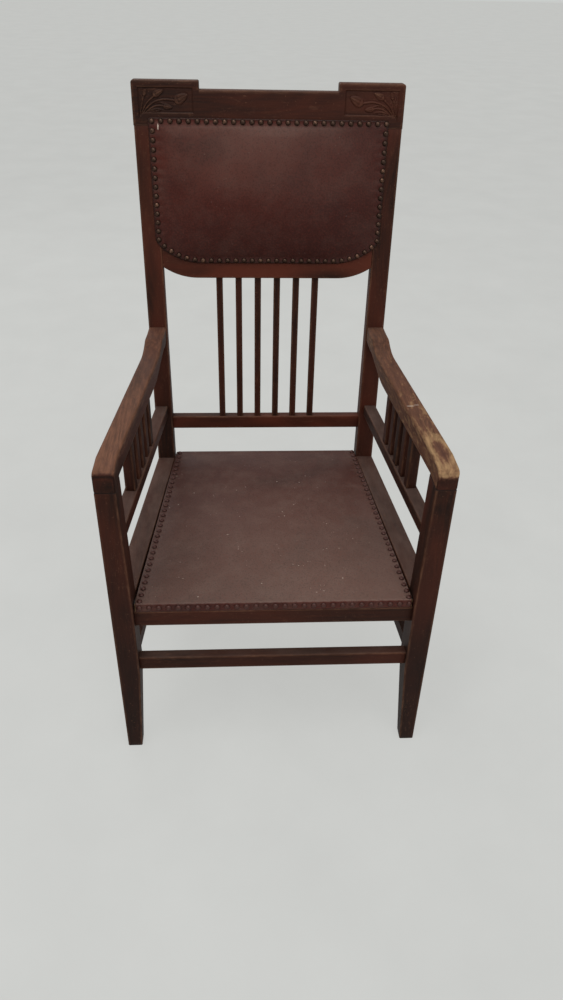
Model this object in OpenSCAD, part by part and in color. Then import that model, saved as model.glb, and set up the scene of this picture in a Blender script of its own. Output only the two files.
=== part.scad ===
// High-backed armchair with slatted sides, a nailed leather back and a loose drop-in seat.
// Millimetres. +Z is up and the front of the chair faces -Y. The origin is on the floor,
// midway across the width and midway along the depth. Right is +X, seen from the front.
// Sizes called "forward" or "back" are measured from the front face of the front legs.

/* [Overall] */
// Width over the two front legs
chair_w = 604; // [560:1:660]
// Height from the floor to the top of the crest rail's raised ends
chair_h = 1180; // [1120:1:1260]
// From the front of the front legs to the front of the rear posts, at the seat
seat_run = 527; // [490:1:570]
// Width over the two rear posts
back_w = 510; // [470:1:540]
// Height of the top of the seat's side rails
seat_rail_z = 385; // [360:1:420]
// Height of the underside of the arms
arm_z = 644; // [620:1:680]
// Lean of the back from upright, in degrees
back_lean = 2.3; // [0:0.1:5]

/* [Front legs] */
// Width of a front leg's face between the seat and the stretcher
leg_w = 41; // [38:0.5:46]
// Depth of a front leg
leg_d = 53; // [48:0.5:60]
// Width of a front leg where it meets the arm
leg_top_w = 36; // [32:0.5:41]
// Width of a front foot
foot_w = 29; // [24:0.5:38]
// Depth of a front foot
foot_d = 28; // [24:0.5:46]
// How far under the stretchers the legs begin to taper
taper_drop = 10; // [2:1:40]

/* [Rear posts] */
// Width of a rear post
post_w = 38.5; // [34:0.5:44]
// Depth of a rear post at the seat
post_d = 38; // [34:0.5:44]
// Depth of a rear post beside the back panel
post_top_d = 28; // [24:0.5:34]
// Height above the side rails at which a post has thinned to that depth
post_taper_h = 415; // [300:1:425]
// Width of a rear foot
rear_foot_w = 30; // [24:0.5:36]
// Depth of a rear foot
rear_foot_d = 30; // [24:0.5:38]
// How far a rear foot stands behind its post at the seat
rear_foot_kick = 33; // [20:1:60]

/* [Seat rails] */
// Thickness of the front and rear seat rails
rail_t = 22; // [18:0.5:26]
// Height of the front and rear seat rails
rail_h = 35; // [28:1:50]
// Height of the side seat rails
side_rail_h = 50; // [42:1:64]
// How far the front rail's face stands back from the front legs
rail_setback = 11; // [4:0.5:20]
// How far the rear rail's face stands back from the rear posts
rear_rail_setback = 5; // [2:0.5:10]
// How far the rests of the loose seat lie under the top of the side rails
rest_drop = 15; // [10:0.5:24]
// Width of the bearers that carry the loose seat along the side rails
bearer_w = 15; // [10:0.5:24]
// Height of those bearers
bearer_h = 18; // [12:0.5:30]
// Space left between a bearer's end and the leg or post
bearer_end_gap = 8; // [2:1:40]

/* [Stretchers] */
// Height of the underside of the stretchers
stretcher_z = 221; // [180:1:260]
// Height of a stretcher
stretcher_h = 30; // [24:0.5:36]
// Thickness of a stretcher
stretcher_t = 21; // [16:0.5:25]
// How far the front stretcher's face stands back from the front legs
stretcher_setback = 9; // [4:0.5:20]

/* [Arms] */
// Thickness of an arm
arm_h = 40; // [34:0.5:46]
// Width of an arm
arm_w = 36; // [32:0.5:42]
// Radius over the top of an arm's front end
arm_nose_r = 10; // [4:0.5:16]
// Rise of the sweep near an arm's rear end
arm_rise = 20; // [10:0.5:28]
// Length of that sweep
arm_sweep_run = 57; // [40:1:90]
// Length of the raised end behind the sweep, at the seat's height
arm_end_run = 40; // [24:1:60]
// Distance from the end of the curve under an arm to its post, at the seat's height
arm_under_end = 17; // [4:1:40]
// Further rise of the raised end towards its post
arm_end_rise = 4; // [0:0.5:8]
// Length over which the underside of an arm curves upwards
arm_under_run = 130; // [90:1:140]
// Rise of the underside over that length
arm_under_rise = 28; // [14:0.5:32]

/* [Arm rails and slats] */
// Height of the underside of the rails under the arms
arm_rail_z = 495; // [460:1:520]
// Height of an arm rail
arm_rail_h = 25; // [20:0.5:32]
// Width of an arm rail
arm_rail_w = 27; // [25:0.5:32]
// How far an arm rail stands in from the outer faces of leg and post
arm_rail_in = 2; // [0:0.5:5]
// Number of slats under each arm
side_slats = 5; // [3:1:6]
// Width and depth of a side slat
side_slat_w = 20; // [14:0.5:21]
// Spacing of the side slats
side_slat_pitch = 41.5; // [32:0.5:48]

/* [Back frame] */
// Height of the crest rail between its raised ends
crest_h = 61.5; // [50:0.5:80]
// Rise of its ends above the middle
crest_end_rise = 15; // [6:0.5:24]
// Width of each raised end
crest_end_w = 125; // [100:1:150]
// How far the crest rail stands proud of the posts at each side
crest_over = 1; // [0:0.5:6]
// Radius of the outer top corners
crest_r = 5; // [2:0.5:10]
// Radius of the inner top corners of the raised ends
crest_inner_r = 3; // [1:0.5:10]
// Height of the middle rail's underside above the side rails
mid_rail_up = 430; // [405:1:450]
// Height of the middle rail
mid_rail_h = 68; // [60:0.5:80]
// Radius of the curves that turn its underside up to the posts
mid_rail_r = 125; // [112:1:150]
// Length of the straight stretch of its underside
mid_rail_flat = 290; // [270:1:320]
// Height of the lower back rail's underside above the side rails
low_rail_up = 74; // [60:1:100]
// Height of the lower back rail
low_rail_h = 30; // [24:0.5:40]
// Thickness of the lower back rail
low_rail_t = 21; // [17:0.5:24]
// How far the lower back rail stands back from the face of the posts
low_rail_setback = 8; // [4:0.5:12]
// Number of upright slats in the back
back_slats = 6; // [4:1:8]
// Width of a back slat
back_slat_w = 13.5; // [10:0.5:16]
// Thickness of a back slat
back_slat_t = 12; // [8:0.5:14]
// Spacing of the back slats
back_slat_pitch = 40.5; // [30:0.5:46]

/* [Crest panels] */
// Width of the sunk panel in each raised end
sunk_w = 102; // [80:1:105]
// Height of the sunk panel
sunk_h = 43; // [34:0.5:46]
// Depth of the sunk panel
sunk_d = 2; // [1:0.5:4]
// Margin between the sunk panel and the crest's outer and top edges
sunk_margin = 11.5; // [8:0.5:14]
// Radius of the curl at its outer lower corner
sunk_curl_r = 16; // [8:0.5:18]

/* [Back panel] */
// Width of the leather on the back
panel_w = 456; // [444:1:470]
// Lap of the leather over the crest rail
panel_lap = 14; // [11:0.5:20]
// Height of the leather's lower edge above the middle rail's underside
panel_edge_up = 32; // [26:0.5:38]
// Radius of the leather's lower corners
panel_r = 124; // [114:1:140]
// Length of the straight stretch of the leather's lower edge
panel_flat = 270; // [260:1:290]
// Height of the padding's crown
panel_crown = 13; // [6:0.5:20]
// Lap of the outside back cover over the frame
outer_lap = 12; // [11:0.5:16]

/* [Seat] */
// Gap between the loose seat and the frame at each side
seat_gap = 2.3; // [1:0.1:5]
// How far the seat reaches back between the rear posts
seat_reach = 19; // [8:0.5:24]
// Thickness of the seat's wooden frame
seat_frame_t = 17; // [12:0.5:24]
// Width of the bars of the seat's frame
seat_bar_w = 60; // [45:1:80]
// Height of the seat's crown
seat_crown = 12; // [6:0.5:20]
// Number of webbing straps from front to back
straps_long = 4; // [2:1:5]
// Number of webbing straps from side to side
straps_cross = 5; // [2:1:6]
// Width of a webbing strap
strap_w = 50; // [30:1:60]

/* [Leather and nails] */
// Thickness of the leather
leather_t = 1.5; // [1:0.1:2.5]
// Thickness of the canvas under it
canvas_t = 1.2; // [0.6:0.1:2]
// Diameter of a domed nail head
nail_d = 10; // [8:0.5:11]
// Height of a domed nail head
nail_h = 3; // [2:0.1:4]
// Spacing of the nails round the leather on the back
nail_pitch = 17; // [13:0.5:24]
// Spacing of the nails on the seat
seat_nail_pitch = 18.2; // [13:0.1:24]
// Spacing of the nails on the outside of the back
outer_nail_pitch = 26; // [18:0.5:40]
// Distance from the leather's edge to the middle of a nail
nail_inset = 5.5; // [5.1:0.1:7]
// The same distance along the sides of the seat
seat_nail_inset = 7; // [5.1:0.1:7.5]

/* [Hidden] */
// Clearance round every tenon and slat in its mortise
fit = 0.15;
// Clearance under a soft or loose piece
rest_gap = 0.3;
// Overrun of cuts, and root of a tenon inside its own rail
over = 1;
// Thickness of the tenons of seat rails and stretchers
tenon_t = 9;
// Shoulder above and below a tenon
shoulder = 5;
// Length of the tenons that enter the legs and posts from the side
tenon_l = 11;
// Length of the tenons that enter the legs from behind and the posts from the front
run_tenon_l = 18;
// Distance from a side rail's outer face to its tenon
run_tenon_in = 9;
// Width, thickness and length of the tenons between posts and crest rail
crest_tenon_w = 16;
crest_tenon_t = 10;
crest_tenon_l = 34;
// Width, depth and length of the tenons between front legs and arms
arm_tenon_w = 16;
arm_tenon_d = 22;
arm_tenon_l = 24;
// Depth of the housings for slats
slat_house = 8;
// Margin between the canvas and the edge of the leather over it
canvas_inset = 2;
// Flat border of leather under the nail heads
nail_border = 12;
// Thickness of a webbing strap, and its length on a bar
strap_t = 1.2;
strap_hold = 16;
// Length and diameter of a nail's shank
shank_l = 9;
shank_d = 1.6;
// Length and thickness of the tenons in the seat's frame
seat_tenon_l = 24;
seat_tenon_t = 6;
// Place of a side stretcher across a front leg, and of the slats between leg and post
stretcher_leg_share = 0.38;
slats_place_share = 0.484;
// Steps in an arc, along an edge of a crowned sheet and round a small corner
arc_steps = 10;
edge_steps = 12;
corner_steps = 6;
// Rings of a crowned sheet, as shares of the way from its middle to its border
ring_shares = [1, 0.93, 0.85, 0.75, 0.63, 0.5, 0.36, 0.18];
// Fullness of a crown: the power of the share that its height falls by
crown_power = 2.6;
curve_fn = 48;
nail_fn = 24;
wood = "#4a2a1c";
wood_red = "#5a2a1a";
inner_wood = "#a8885e";
leather = "#4b2f2c";
canvas = "#a89878";
webbing = "#8a7a58";
bronze = "#5f4c34";

SIDES = ["left", "right"];

half_w = chair_w / 2;
half_b = back_w / 2;
leg_in = half_w - leg_w;
post_in = half_b - post_w;
post_mid_x = half_b - post_w / 2;
taper_z = stretcher_z - taper_drop;
knee_z = seat_rail_z - side_rail_h;
rest_z = seat_rail_z - rest_drop;
arm_top = arm_z + arm_h;

// Plan: the sides of the chair run in from the front legs to the rear posts
side_slope = (half_w - half_b) / (seat_run - leg_d);
side_angle = atan(side_slope);
function side_x(y) = half_w - side_slope * min(max(y - leg_d, 0), seat_run - leg_d);
function rail_in_x(y) = leg_in - (leg_in - post_in) * (y - leg_d) / (seat_run - leg_d);

// The rear posts: upright at the seat, leaning above it and kicked back below it
function kick_at(z) = z < knee_z ? pow(1 - z / knee_z, 2) : 0;
function lean_at(z) = z > seat_rail_z ? (z - seat_rail_z) * tan(back_lean) : 0;
function post_front(z) = seat_run + rear_foot_kick * kick_at(z) + lean_at(z);
function post_back(z) = seat_run + post_d + (rear_foot_kick + rear_foot_d - post_d) * kick_at(z);
function lean_point(d, u) = [
    seat_run + d * cos(back_lean) + u * sin(back_lean),
    seat_rail_z - d * sin(back_lean) + u * cos(back_lean)
];
back_top = (chair_h - seat_rail_z) / cos(back_lean);
crest_up = back_top - crest_end_rise - crest_h;
depth = max(post_back(0), lean_point(post_top_d, back_top)[0]);

// The lower edge of the middle rail and of the leather: a flat with an arc at each end
function edge_arc(flat, r, low, x_end) = let (a = asin((x_end - flat / 2) / r)) [
    for (i = [0:arc_steps])
        [flat / 2 + r * sin(a * i / arc_steps), low + r - r * cos(a * i / arc_steps)]
];
function flip(p) = [for (i = [len(p) - 1:-1:0]) [-p[i][0], p[i][1]]];
mid_arc = edge_arc(mid_rail_flat, mid_rail_r, mid_rail_up, post_in);
mid_end_z = mid_arc[arc_steps][1];
mid_top = mid_rail_up + mid_rail_h;
low_top = low_rail_up + low_rail_h;
slat_mid_y = (post_top_d / 2 + low_rail_setback + low_rail_t / 2) / 2;

function corner(c, r, from, to) = [
    for (i = [0:corner_steps])
        let (a = from + (to - from) * i / corner_steps) c + r * [cos(a), sin(a)]
];

// Places along a line of points, measured from its start
function leg_len(p, i) = norm(p[i + 1] - p[i]);
function run_len(p, i = 0) = i >= len(p) - 1 ? 0 : leg_len(p, i) + run_len(p, i + 1);
function at_run(p, d, i = 0) = d <= leg_len(p, i) || i >= len(p) - 2
    ? p[i] + (p[i + 1] - p[i]) * d / leg_len(p, i)
    : at_run(p, d - leg_len(p, i), i + 1);
function nail_count(p, pitch) = max(1, round(run_len(p) / pitch));
function nail_row(p, pitch, from = 0, to = 0) = let (n = nail_count(p, pitch), all = run_len(p)) [
    for (i = [from:n - to]) at_run(p, all * i / n)
];
function split(a, b, n) = [for (i = [0:n - 1]) a + (b - a) * i / n];

// Outline of the leather on the back, drawn in by inset, anticlockwise from the right
panel_half = panel_w / 2;
panel_low = mid_rail_up + panel_edge_up;
panel_high = crest_up + panel_lap;
function panel_arc(inset) =
    edge_arc(panel_flat, panel_r - inset, panel_low + inset, panel_half - inset);
function panel_outline(inset) = let (
    arc = panel_arc(inset),
    low = arc[arc_steps],
    high = [panel_half - inset, panel_high - inset]
) concat(
    split([0, arc[0][1]], arc[0], edge_steps / 2),
    [for (i = [0:arc_steps - 1]) arc[i]],
    split(low, high, edge_steps),
    split(high, [-high[0], high[1]], edge_steps),
    split([-high[0], high[1]], [-low[0], low[1]], edge_steps),
    [for (i = [arc_steps:-1:1]) [-arc[i][0], arc[i][1]]],
    split([-arc[0][0], arc[0][1]], [0, arc[0][1]], edge_steps / 2)
);
function panel_sides(inset) = let (arc = panel_arc(inset)) concat(
    [[panel_half - inset, panel_high - inset]],
    [for (i = [arc_steps:-1:0]) arc[i]],
    [for (p = flip([for (i = [arc_steps:-1:0]) arc[i]])) p],
    [[inset - panel_half, panel_high - inset]]
);

// Outline of the loose seat, drawn in by inset, anticlockwise from the front left
seat_front = rail_setback;
seat_back = seat_run + seat_reach;
seat_half = leg_in - seat_gap;
seat_slope = (leg_in - post_in) / (seat_run - seat_front);
seat_bar_z = rest_z + rest_gap;
seat_top = seat_bar_z + seat_frame_t;
seat_leather_z = seat_top + canvas_t;
strip_top = seat_leather_z + leather_t;
bar_front = seat_front + leather_t;
function seat_x(y) = seat_half - seat_slope * (y - seat_front);
function seat_corners(inset) = let (y0 = seat_front + inset, y1 = seat_back - inset) [
    [inset - seat_x(y0), y0],
    [seat_x(y0) - inset, y0],
    [seat_x(y1) - inset, y1],
    [inset - seat_x(y1), y1]
];
function seat_outline(inset) = let (c = seat_corners(inset)) [
    for (i = [0:3]) for (p = split(c[i], c[(i + 1) % 4], edge_steps)) p
];

// A crowned sheet: a flat border, then rings that rise and grow rounder towards the middle
function middle(p) = [
    (max([for (q = p) q[0]]) + min([for (q = p) q[0]])) / 2,
    (max([for (q = p) q[1]]) + min([for (q = p) q[1]])) / 2
];
function half_size(p) = [for (k = [0, 1]) (max([for (q = p) q[k]]) - min([for (q = p) q[k]])) / 2];
function rounded(d, h, w) = d * (1 - w + w / norm([d[0] / h[0], d[1] / h[1]]));
function rings(inner, crown, lift) = let (m = middle(inner), h = half_size(inner)) concat(
    [for (s = ring_shares) for (p = inner)
        concat(m + s * rounded(p - m, h, 1 - s), lift + crown * (1 - pow(s, crown_power)))],
    [concat(m, lift + crown)]
);
function ring_faces(n, k, at, up) = [
    for (j = [0:k - 1]) for (i = [0:n - 1])
        let (a = at + j * n + i, b = at + j * n + (i + 1) % n)
            for (f = up ? [[a, a + n, b + n], [a, b + n, b]] : [[a, b + n, a + n], [a, b, b + n]]) f
];
function fan_faces(n, at, up) = [
    for (i = [0:n - 1]) up ? [at + i, at + n, at + (i + 1) % n] : [at + i, at + (i + 1) % n, at + n]
];

module crowned_sheet(outer, inner, crown, thick) {
    n = len(outer);
    k = len(ring_shares);
    size = n * (k + 1) + 1;
    points = concat(
        [for (p = outer) concat(p, 0)],
        rings(inner, crown, 0),
        [for (p = outer) concat(p, thick)],
        rings(inner, crown, thick)
    );
    wall = [for (i = [0:n - 1]) let (b = (i + 1) % n) each [[i, size + i, size + b], [i, size + b, b]]];
    polyhedron(points, concat(
        ring_faces(n, k, 0, false),
        fan_faces(n, n * k, false),
        ring_faces(n, k, size, true),
        fan_faces(n, size + n * k, true),
        wall
    ));
}

module crowned_pad(inner, crown) {
    n = len(inner);
    k = len(ring_shares);
    floor_mid = n * k + 1;
    floor = [for (i = [0:n - 1]) [i, (i + 1) % n, floor_mid]];
    points = concat(rings(inner, crown, 0), [concat(middle(inner), 0)]);
    polyhedron(points, concat(
        ring_faces(n, k - 1, 0, true),
        fan_faces(n, n * (k - 1), true),
        floor
    ));
}

// Frames of reference and plain shapes
module placed() {
    translate([0, -depth / 2, 0]) children();
}

module leaning() {
    translate([0, seat_run, seat_rail_z]) rotate([-back_lean, 0, 0]) children();
}

module sided(side) {
    if (side == "left") mirror([1, 0, 0]) children();
    else children();
}

module both_sides() {
    children();
    mirror([1, 0, 0]) children();
}

module slab(low, high, grow = 0) {
    g = [grow, grow, grow];
    translate(low - g) cube(high - low + 2 * g);
}

module along_x(from, to) {
    translate([from, 0, 0]) rotate([90, 0, 90]) linear_extrude(height = to - from) children();
}

module along_y(from, to) {
    translate([0, to, 0]) rotate([90, 0, 0]) linear_extrude(height = to - from) children();
}

module along_z(from, to) {
    translate([0, 0, from]) linear_extrude(height = to - from) children();
}

// Tenons, drawn on the right. Grown by the clearance they are the mortises too.
front_rail_y = rail_setback + (rail_t - tenon_t) / 2;
rear_rail_y = seat_run + rear_rail_setback;
rear_tenon_y = rear_rail_y + (rail_t - tenon_t) / 2;
front_str_y = stretcher_setback + (stretcher_t - tenon_t) / 2;
rear_str_y = post_front(stretcher_z + stretcher_h / 2) + (post_d - stretcher_t) / 2;
rear_str_tenon_y = rear_str_y + (stretcher_t - tenon_t) / 2;
side_str_leg_x = leg_in + leg_w * stretcher_leg_share;
arm_rail_x = arm_rail_in + arm_rail_w / 2;
arm_rail_top = arm_rail_z + arm_rail_h;

module front_rail_tenon(grow = 0) {
    slab([leg_in - over, front_rail_y, rest_z - rail_h + shoulder],
        [leg_in + tenon_l, front_rail_y + tenon_t, rest_z - shoulder], grow);
}

module rear_rail_tenon(grow = 0) {
    slab([post_in - over, rear_tenon_y, rest_z - rail_h + shoulder],
        [post_in + tenon_l, rear_tenon_y + tenon_t, rest_z - shoulder], grow);
}

module side_rail_tenons(grow = 0) {
    slab([half_w - run_tenon_in - tenon_t, leg_d - run_tenon_l, knee_z + shoulder],
        [half_w - run_tenon_in, leg_d + over, seat_rail_z - shoulder], grow);
    slab([half_b - run_tenon_in - tenon_t, seat_run - over, knee_z + shoulder],
        [half_b - run_tenon_in, seat_run + run_tenon_l, seat_rail_z - shoulder], grow);
}

module front_stretcher_tenon(grow = 0) {
    slab([leg_in - over, front_str_y, stretcher_z + shoulder],
        [leg_in + tenon_l, front_str_y + tenon_t, stretcher_z + stretcher_h - shoulder], grow);
}

module rear_stretcher_tenon(grow = 0) {
    slab([post_in - over, rear_str_tenon_y, stretcher_z + shoulder],
        [post_in + tenon_l, rear_str_tenon_y + tenon_t, stretcher_z + stretcher_h - shoulder], grow);
}

module side_stretcher_tenons(grow = 0) {
    low = stretcher_z + shoulder;
    high = stretcher_z + stretcher_h - shoulder;
    slab([side_str_leg_x - tenon_t / 2, leg_d - run_tenon_l, low],
        [side_str_leg_x + tenon_t / 2, leg_d + over, high], grow);
    slab([post_mid_x - tenon_t / 2, post_front(high) - over, low],
        [post_mid_x + tenon_t / 2, post_front(low) + run_tenon_l, high], grow);
}

module arm_rail_tenons(grow = 0) {
    low = arm_rail_z + shoulder;
    high = arm_rail_top - shoulder;
    slab([half_w - arm_rail_x - tenon_t / 2, leg_d - run_tenon_l, low],
        [half_w - arm_rail_x + tenon_t / 2, leg_d + over, high], grow);
    slab([half_b - arm_rail_x - tenon_t / 2, post_front(low) - over, low],
        [half_b - arm_rail_x + tenon_t / 2, post_front(low) + run_tenon_l, high], grow);
}

module arm_post_tenon(grow = 0) {
    low = arm_z + arm_under_rise + arm_end_rise + shoulder;
    high = arm_top + arm_rise - shoulder;
    slab([half_b - (arm_w + tenon_t) / 2, post_front(low) - over, low],
        [half_b - (arm_w - tenon_t) / 2, post_front(low) + run_tenon_l, high], grow);
}

module leg_top_tenon(grow = 0) {
    slab([half_w - (leg_top_w + arm_tenon_w) / 2, (leg_d - arm_tenon_d) / 2, arm_z - over],
        [half_w - (leg_top_w - arm_tenon_w) / 2, (leg_d + arm_tenon_d) / 2, arm_z + arm_tenon_l], grow);
}

module crest_tenon(grow = 0) {
    slab([post_mid_x - crest_tenon_w / 2, (post_top_d - crest_tenon_t) / 2, crest_up - over],
        [post_mid_x + crest_tenon_w / 2, (post_top_d + crest_tenon_t) / 2, crest_up + crest_tenon_l], grow);
}

module mid_rail_tenon(grow = 0) {
    slab([post_in - over, (post_top_d - tenon_t) / 2, mid_end_z + shoulder],
        [post_in + tenon_l, (post_top_d + tenon_t) / 2, mid_top - shoulder], grow);
}

module low_rail_tenon(grow = 0) {
    y = low_rail_setback + (low_rail_t - tenon_t) / 2;
    slab([post_in - over, y, low_rail_up + shoulder],
        [post_in + tenon_l, y + tenon_t, low_top - shoulder], grow);
}

// Front legs: square above the stretchers, tapered on two faces to the foot
module front_leg_body() {
    intersection() {
        along_y(-over, leg_d + over) polygon([
            [half_w - foot_w, 0],
            [half_w, 0],
            [half_w, arm_z],
            [half_w - leg_top_w, arm_z],
            [leg_in, seat_rail_z],
            [leg_in, taper_z]
        ]);
        along_x(0, half_w + over) polygon([
            [0, 0],
            [foot_d, 0],
            [leg_d, taper_z],
            [leg_d, arm_z],
            [0, arm_z]
        ]);
    }
}

module front_leg(side) {
    color(wood) placed() sided(side) {
        difference() {
            front_leg_body();
            front_rail_tenon(fit);
            front_stretcher_tenon(fit);
            side_rail_tenons(fit);
            side_stretcher_tenons(fit);
            arm_rail_tenons(fit);
        }
        leg_top_tenon();
    }
}

// Rear posts: one piece from the floor to the crest rail
module rear_post_body() {
    intersection() {
        along_y(0, depth + over) polygon([
            [half_b - rear_foot_w, 0],
            [half_b, 0],
            [half_b, chair_h],
            [post_in, chair_h],
            [post_in, taper_z]
        ]);
        along_x(0, half_b + over) polygon(concat(
            [for (i = [0:arc_steps]) let (z = knee_z * i / arc_steps) [post_front(z), z]],
            [lean_point(0, 0), lean_point(0, crest_up), lean_point(post_top_d, crest_up)],
            [lean_point(post_top_d, post_taper_h), lean_point(post_d, 0)],
            [for (i = [arc_steps:-1:0]) let (z = knee_z * i / arc_steps) [post_back(z), z]]
        ));
    }
}

module rear_post(side) {
    color(wood) placed() sided(side) {
        difference() {
            rear_post_body();
            rear_rail_tenon(fit);
            rear_stretcher_tenon(fit);
            side_rail_tenons(fit);
            side_stretcher_tenons(fit);
            arm_rail_tenons(fit);
            arm_post_tenon(fit);
            leaning() {
                low_rail_tenon(fit);
                mid_rail_tenon(fit);
            }
        }
        leaning() crest_tenon();
    }
}

// Crest rail: raised ends, each with a sunk panel that curls down at its outer corner
module crest_outline() {
    w = half_b + crest_over;
    step = w - crest_end_w;
    half = concat(
        [[0, crest_up], [w, crest_up]],
        corner([w - crest_r, back_top - crest_r], crest_r, 0, 90),
        corner([step + crest_inner_r, back_top - crest_inner_r], crest_inner_r, 90, 180),
        [[step, back_top - crest_end_rise]]
    );
    polygon(concat(half, flip(half)));
}

module sunk_outline() {
    outer = half_b + crest_over - sunk_margin;
    high = back_top - sunk_margin;
    low = high - sunk_h;
    translate([outer - sunk_w, low]) square([sunk_w, sunk_h]);
    difference() {
        translate([outer - sunk_curl_r, low - sunk_curl_r]) square([sunk_curl_r, sunk_curl_r + over]);
        translate([outer - sunk_curl_r, low - sunk_curl_r]) circle(r = sunk_curl_r, $fn = curve_fn);
    }
}

module crest_rail() {
    color(wood) placed() leaning() difference() {
        along_y(0, post_top_d) crest_outline();
        both_sides() {
            crest_tenon(fit);
            along_y(-over, sunk_d) sunk_outline();
        }
    }
}

// Back frame under the leather, and the slats below it
module back_slat_body(i, grow = 0) {
    x = (i - (back_slats + 1) / 2) * back_slat_pitch;
    slab([x - back_slat_w / 2, slat_mid_y - back_slat_t / 2, low_top - slat_house],
        [x + back_slat_w / 2, slat_mid_y + back_slat_t / 2, mid_rail_up + slat_house], grow);
}

module back_slat(i) {
    color(wood) placed() leaning() back_slat_body(i);
}

module back_middle_rail() {
    color(wood_red) placed() leaning() {
        difference() {
            along_y(0, post_top_d) polygon(concat(
                mid_arc,
                [[post_in, mid_top], [-post_in, mid_top]],
                flip(mid_arc)
            ));
            for (i = [1:back_slats]) back_slat_body(i, fit);
        }
        both_sides() mid_rail_tenon();
    }
}

module lower_back_rail() {
    color(wood) placed() leaning() {
        difference() {
            slab([-post_in, low_rail_setback, low_rail_up],
                [post_in, low_rail_setback + low_rail_t, low_top]);
            for (i = [1:back_slats]) back_slat_body(i, fit);
        }
        both_sides() low_rail_tenon();
    }
}

// Seat rails, the bearers inside them, and the stretchers
module seat_rail_front() {
    color(wood) placed() {
        slab([-leg_in, rail_setback, rest_z - rail_h], [leg_in, rail_setback + rail_t, rest_z]);
        both_sides() front_rail_tenon();
    }
}

module seat_rail_rear() {
    color(wood) placed() {
        slab([-post_in, rear_rail_y, rest_z - rail_h], [post_in, rear_rail_y + rail_t, rest_z]);
        both_sides() rear_rail_tenon();
    }
}

module seat_rail_side(side) {
    color(wood) placed() sided(side) {
        along_z(knee_z, seat_rail_z) polygon([
            [leg_in, leg_d],
            [half_w, leg_d],
            [half_b, seat_run],
            [post_in, seat_run]
        ]);
        side_rail_tenons();
    }
}

module seat_bearer(side) {
    y0 = leg_d + bearer_end_gap;
    y1 = seat_run - bearer_end_gap;
    color(inner_wood) placed() sided(side) along_z(rest_z - bearer_h, rest_z) polygon([
        [rail_in_x(y0) - bearer_w, y0],
        [rail_in_x(y0), y0],
        [rail_in_x(y1), y1],
        [rail_in_x(y1) - bearer_w, y1]
    ]);
}

module stretcher_front() {
    color(wood) placed() {
        slab([-leg_in, stretcher_setback, stretcher_z],
            [leg_in, stretcher_setback + stretcher_t, stretcher_z + stretcher_h]);
        both_sides() front_stretcher_tenon();
    }
}

module stretcher_rear() {
    color(wood) placed() {
        slab([-post_in, rear_str_y, stretcher_z],
            [post_in, rear_str_y + stretcher_t, stretcher_z + stretcher_h]);
        both_sides() rear_stretcher_tenon();
    }
}

module stretcher_side(side) {
    y1 = seat_run + post_d / 2;
    t = stretcher_t / 2;
    color(wood) placed() sided(side) {
        difference() {
            along_z(stretcher_z, stretcher_z + stretcher_h) polygon([
                [side_str_leg_x - t, leg_d],
                [side_str_leg_x + t, leg_d],
                [post_mid_x + t, y1],
                [post_mid_x - t, y1]
            ]);
            rear_post_body();
        }
        side_stretcher_tenons();
    }
}

// Arms: flat from the front, swept up to a raised end at the post
arm_kink_y = seat_run - arm_end_run;
arm_sweep_y = arm_kink_y - arm_sweep_run;
arm_under_y1 = seat_run - arm_under_end;
arm_under_y0 = arm_under_y1 - arm_under_run;
arm_sweep_r = (arm_sweep_run * arm_sweep_run + arm_rise * arm_rise) / (2 * arm_rise);
arm_sweep_a = asin(arm_sweep_run / arm_sweep_r);
arm_end_y = post_front(arm_top) + post_top_d / 2;

function ease(t) = t * t * (3 - 2 * t);

module arm_side_outline() {
    polygon(concat(
        [[0, arm_z]],
        corner([arm_nose_r, arm_top - arm_nose_r], arm_nose_r, 180, 90),
        [for (i = [0:arc_steps]) let (a = arm_sweep_a * i / arc_steps)
            [arm_sweep_y + arm_sweep_r * sin(a), arm_top + arm_sweep_r * (1 - cos(a))]],
        [[arm_end_y, arm_top + arm_rise + arm_end_rise]],
        [[arm_end_y, arm_z + arm_under_rise + arm_end_rise]],
        [for (i = [arc_steps:-1:0]) let (t = i / arc_steps)
            [arm_under_y0 + arm_under_run * t, arm_z + arm_under_rise * ease(t)]]
    ));
}

module arm_plan() {
    polygon([
        [half_w - arm_w, -over],
        [half_w, -over],
        [half_w, leg_d],
        [half_b, seat_run],
        [half_b, arm_end_y],
        [half_b - arm_w, arm_end_y],
        [half_b - arm_w, seat_run],
        [half_w - arm_w, leg_d]
    ]);
}

module side_slat_body(i, grow = 0) {
    y = leg_d + (seat_run - leg_d) * slats_place_share + (i - (side_slats + 1) / 2) * side_slat_pitch;
    w = side_slat_w / 2;
    translate([side_x(y) - arm_rail_x, y, 0]) rotate([0, 0, side_angle])
        slab([-w, -w, arm_rail_top - slat_house], [w, w, arm_z + slat_house], grow);
}

module side_slat(side, i) {
    color(wood) placed() sided(side) side_slat_body(i);
}

module arm(side) {
    color(wood) placed() sided(side) {
        difference() {
            intersection() {
                along_x(0, half_w + over) arm_side_outline();
                along_z(arm_z - over, chair_h) arm_plan();
            }
            rear_post_body();
            leg_top_tenon(fit);
            for (i = [1:side_slats]) side_slat_body(i, fit);
        }
        arm_post_tenon();
    }
}

module arm_rail(side) {
    y1 = seat_run + post_d / 2;
    color(wood) placed() sided(side) {
        difference() {
            along_z(arm_rail_z, arm_rail_top) polygon([
                [half_w - arm_rail_in - arm_rail_w, leg_d],
                [half_w - arm_rail_in, leg_d],
                [half_b - arm_rail_in, seat_run],
                [half_b - arm_rail_in, y1],
                [half_b - arm_rail_in - arm_rail_w, y1],
                [half_b - arm_rail_in - arm_rail_w, seat_run]
            ]);
            rear_post_body();
            for (i = [1:side_slats]) side_slat_body(i, fit);
        }
        arm_rail_tenons();
    }
}

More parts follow.
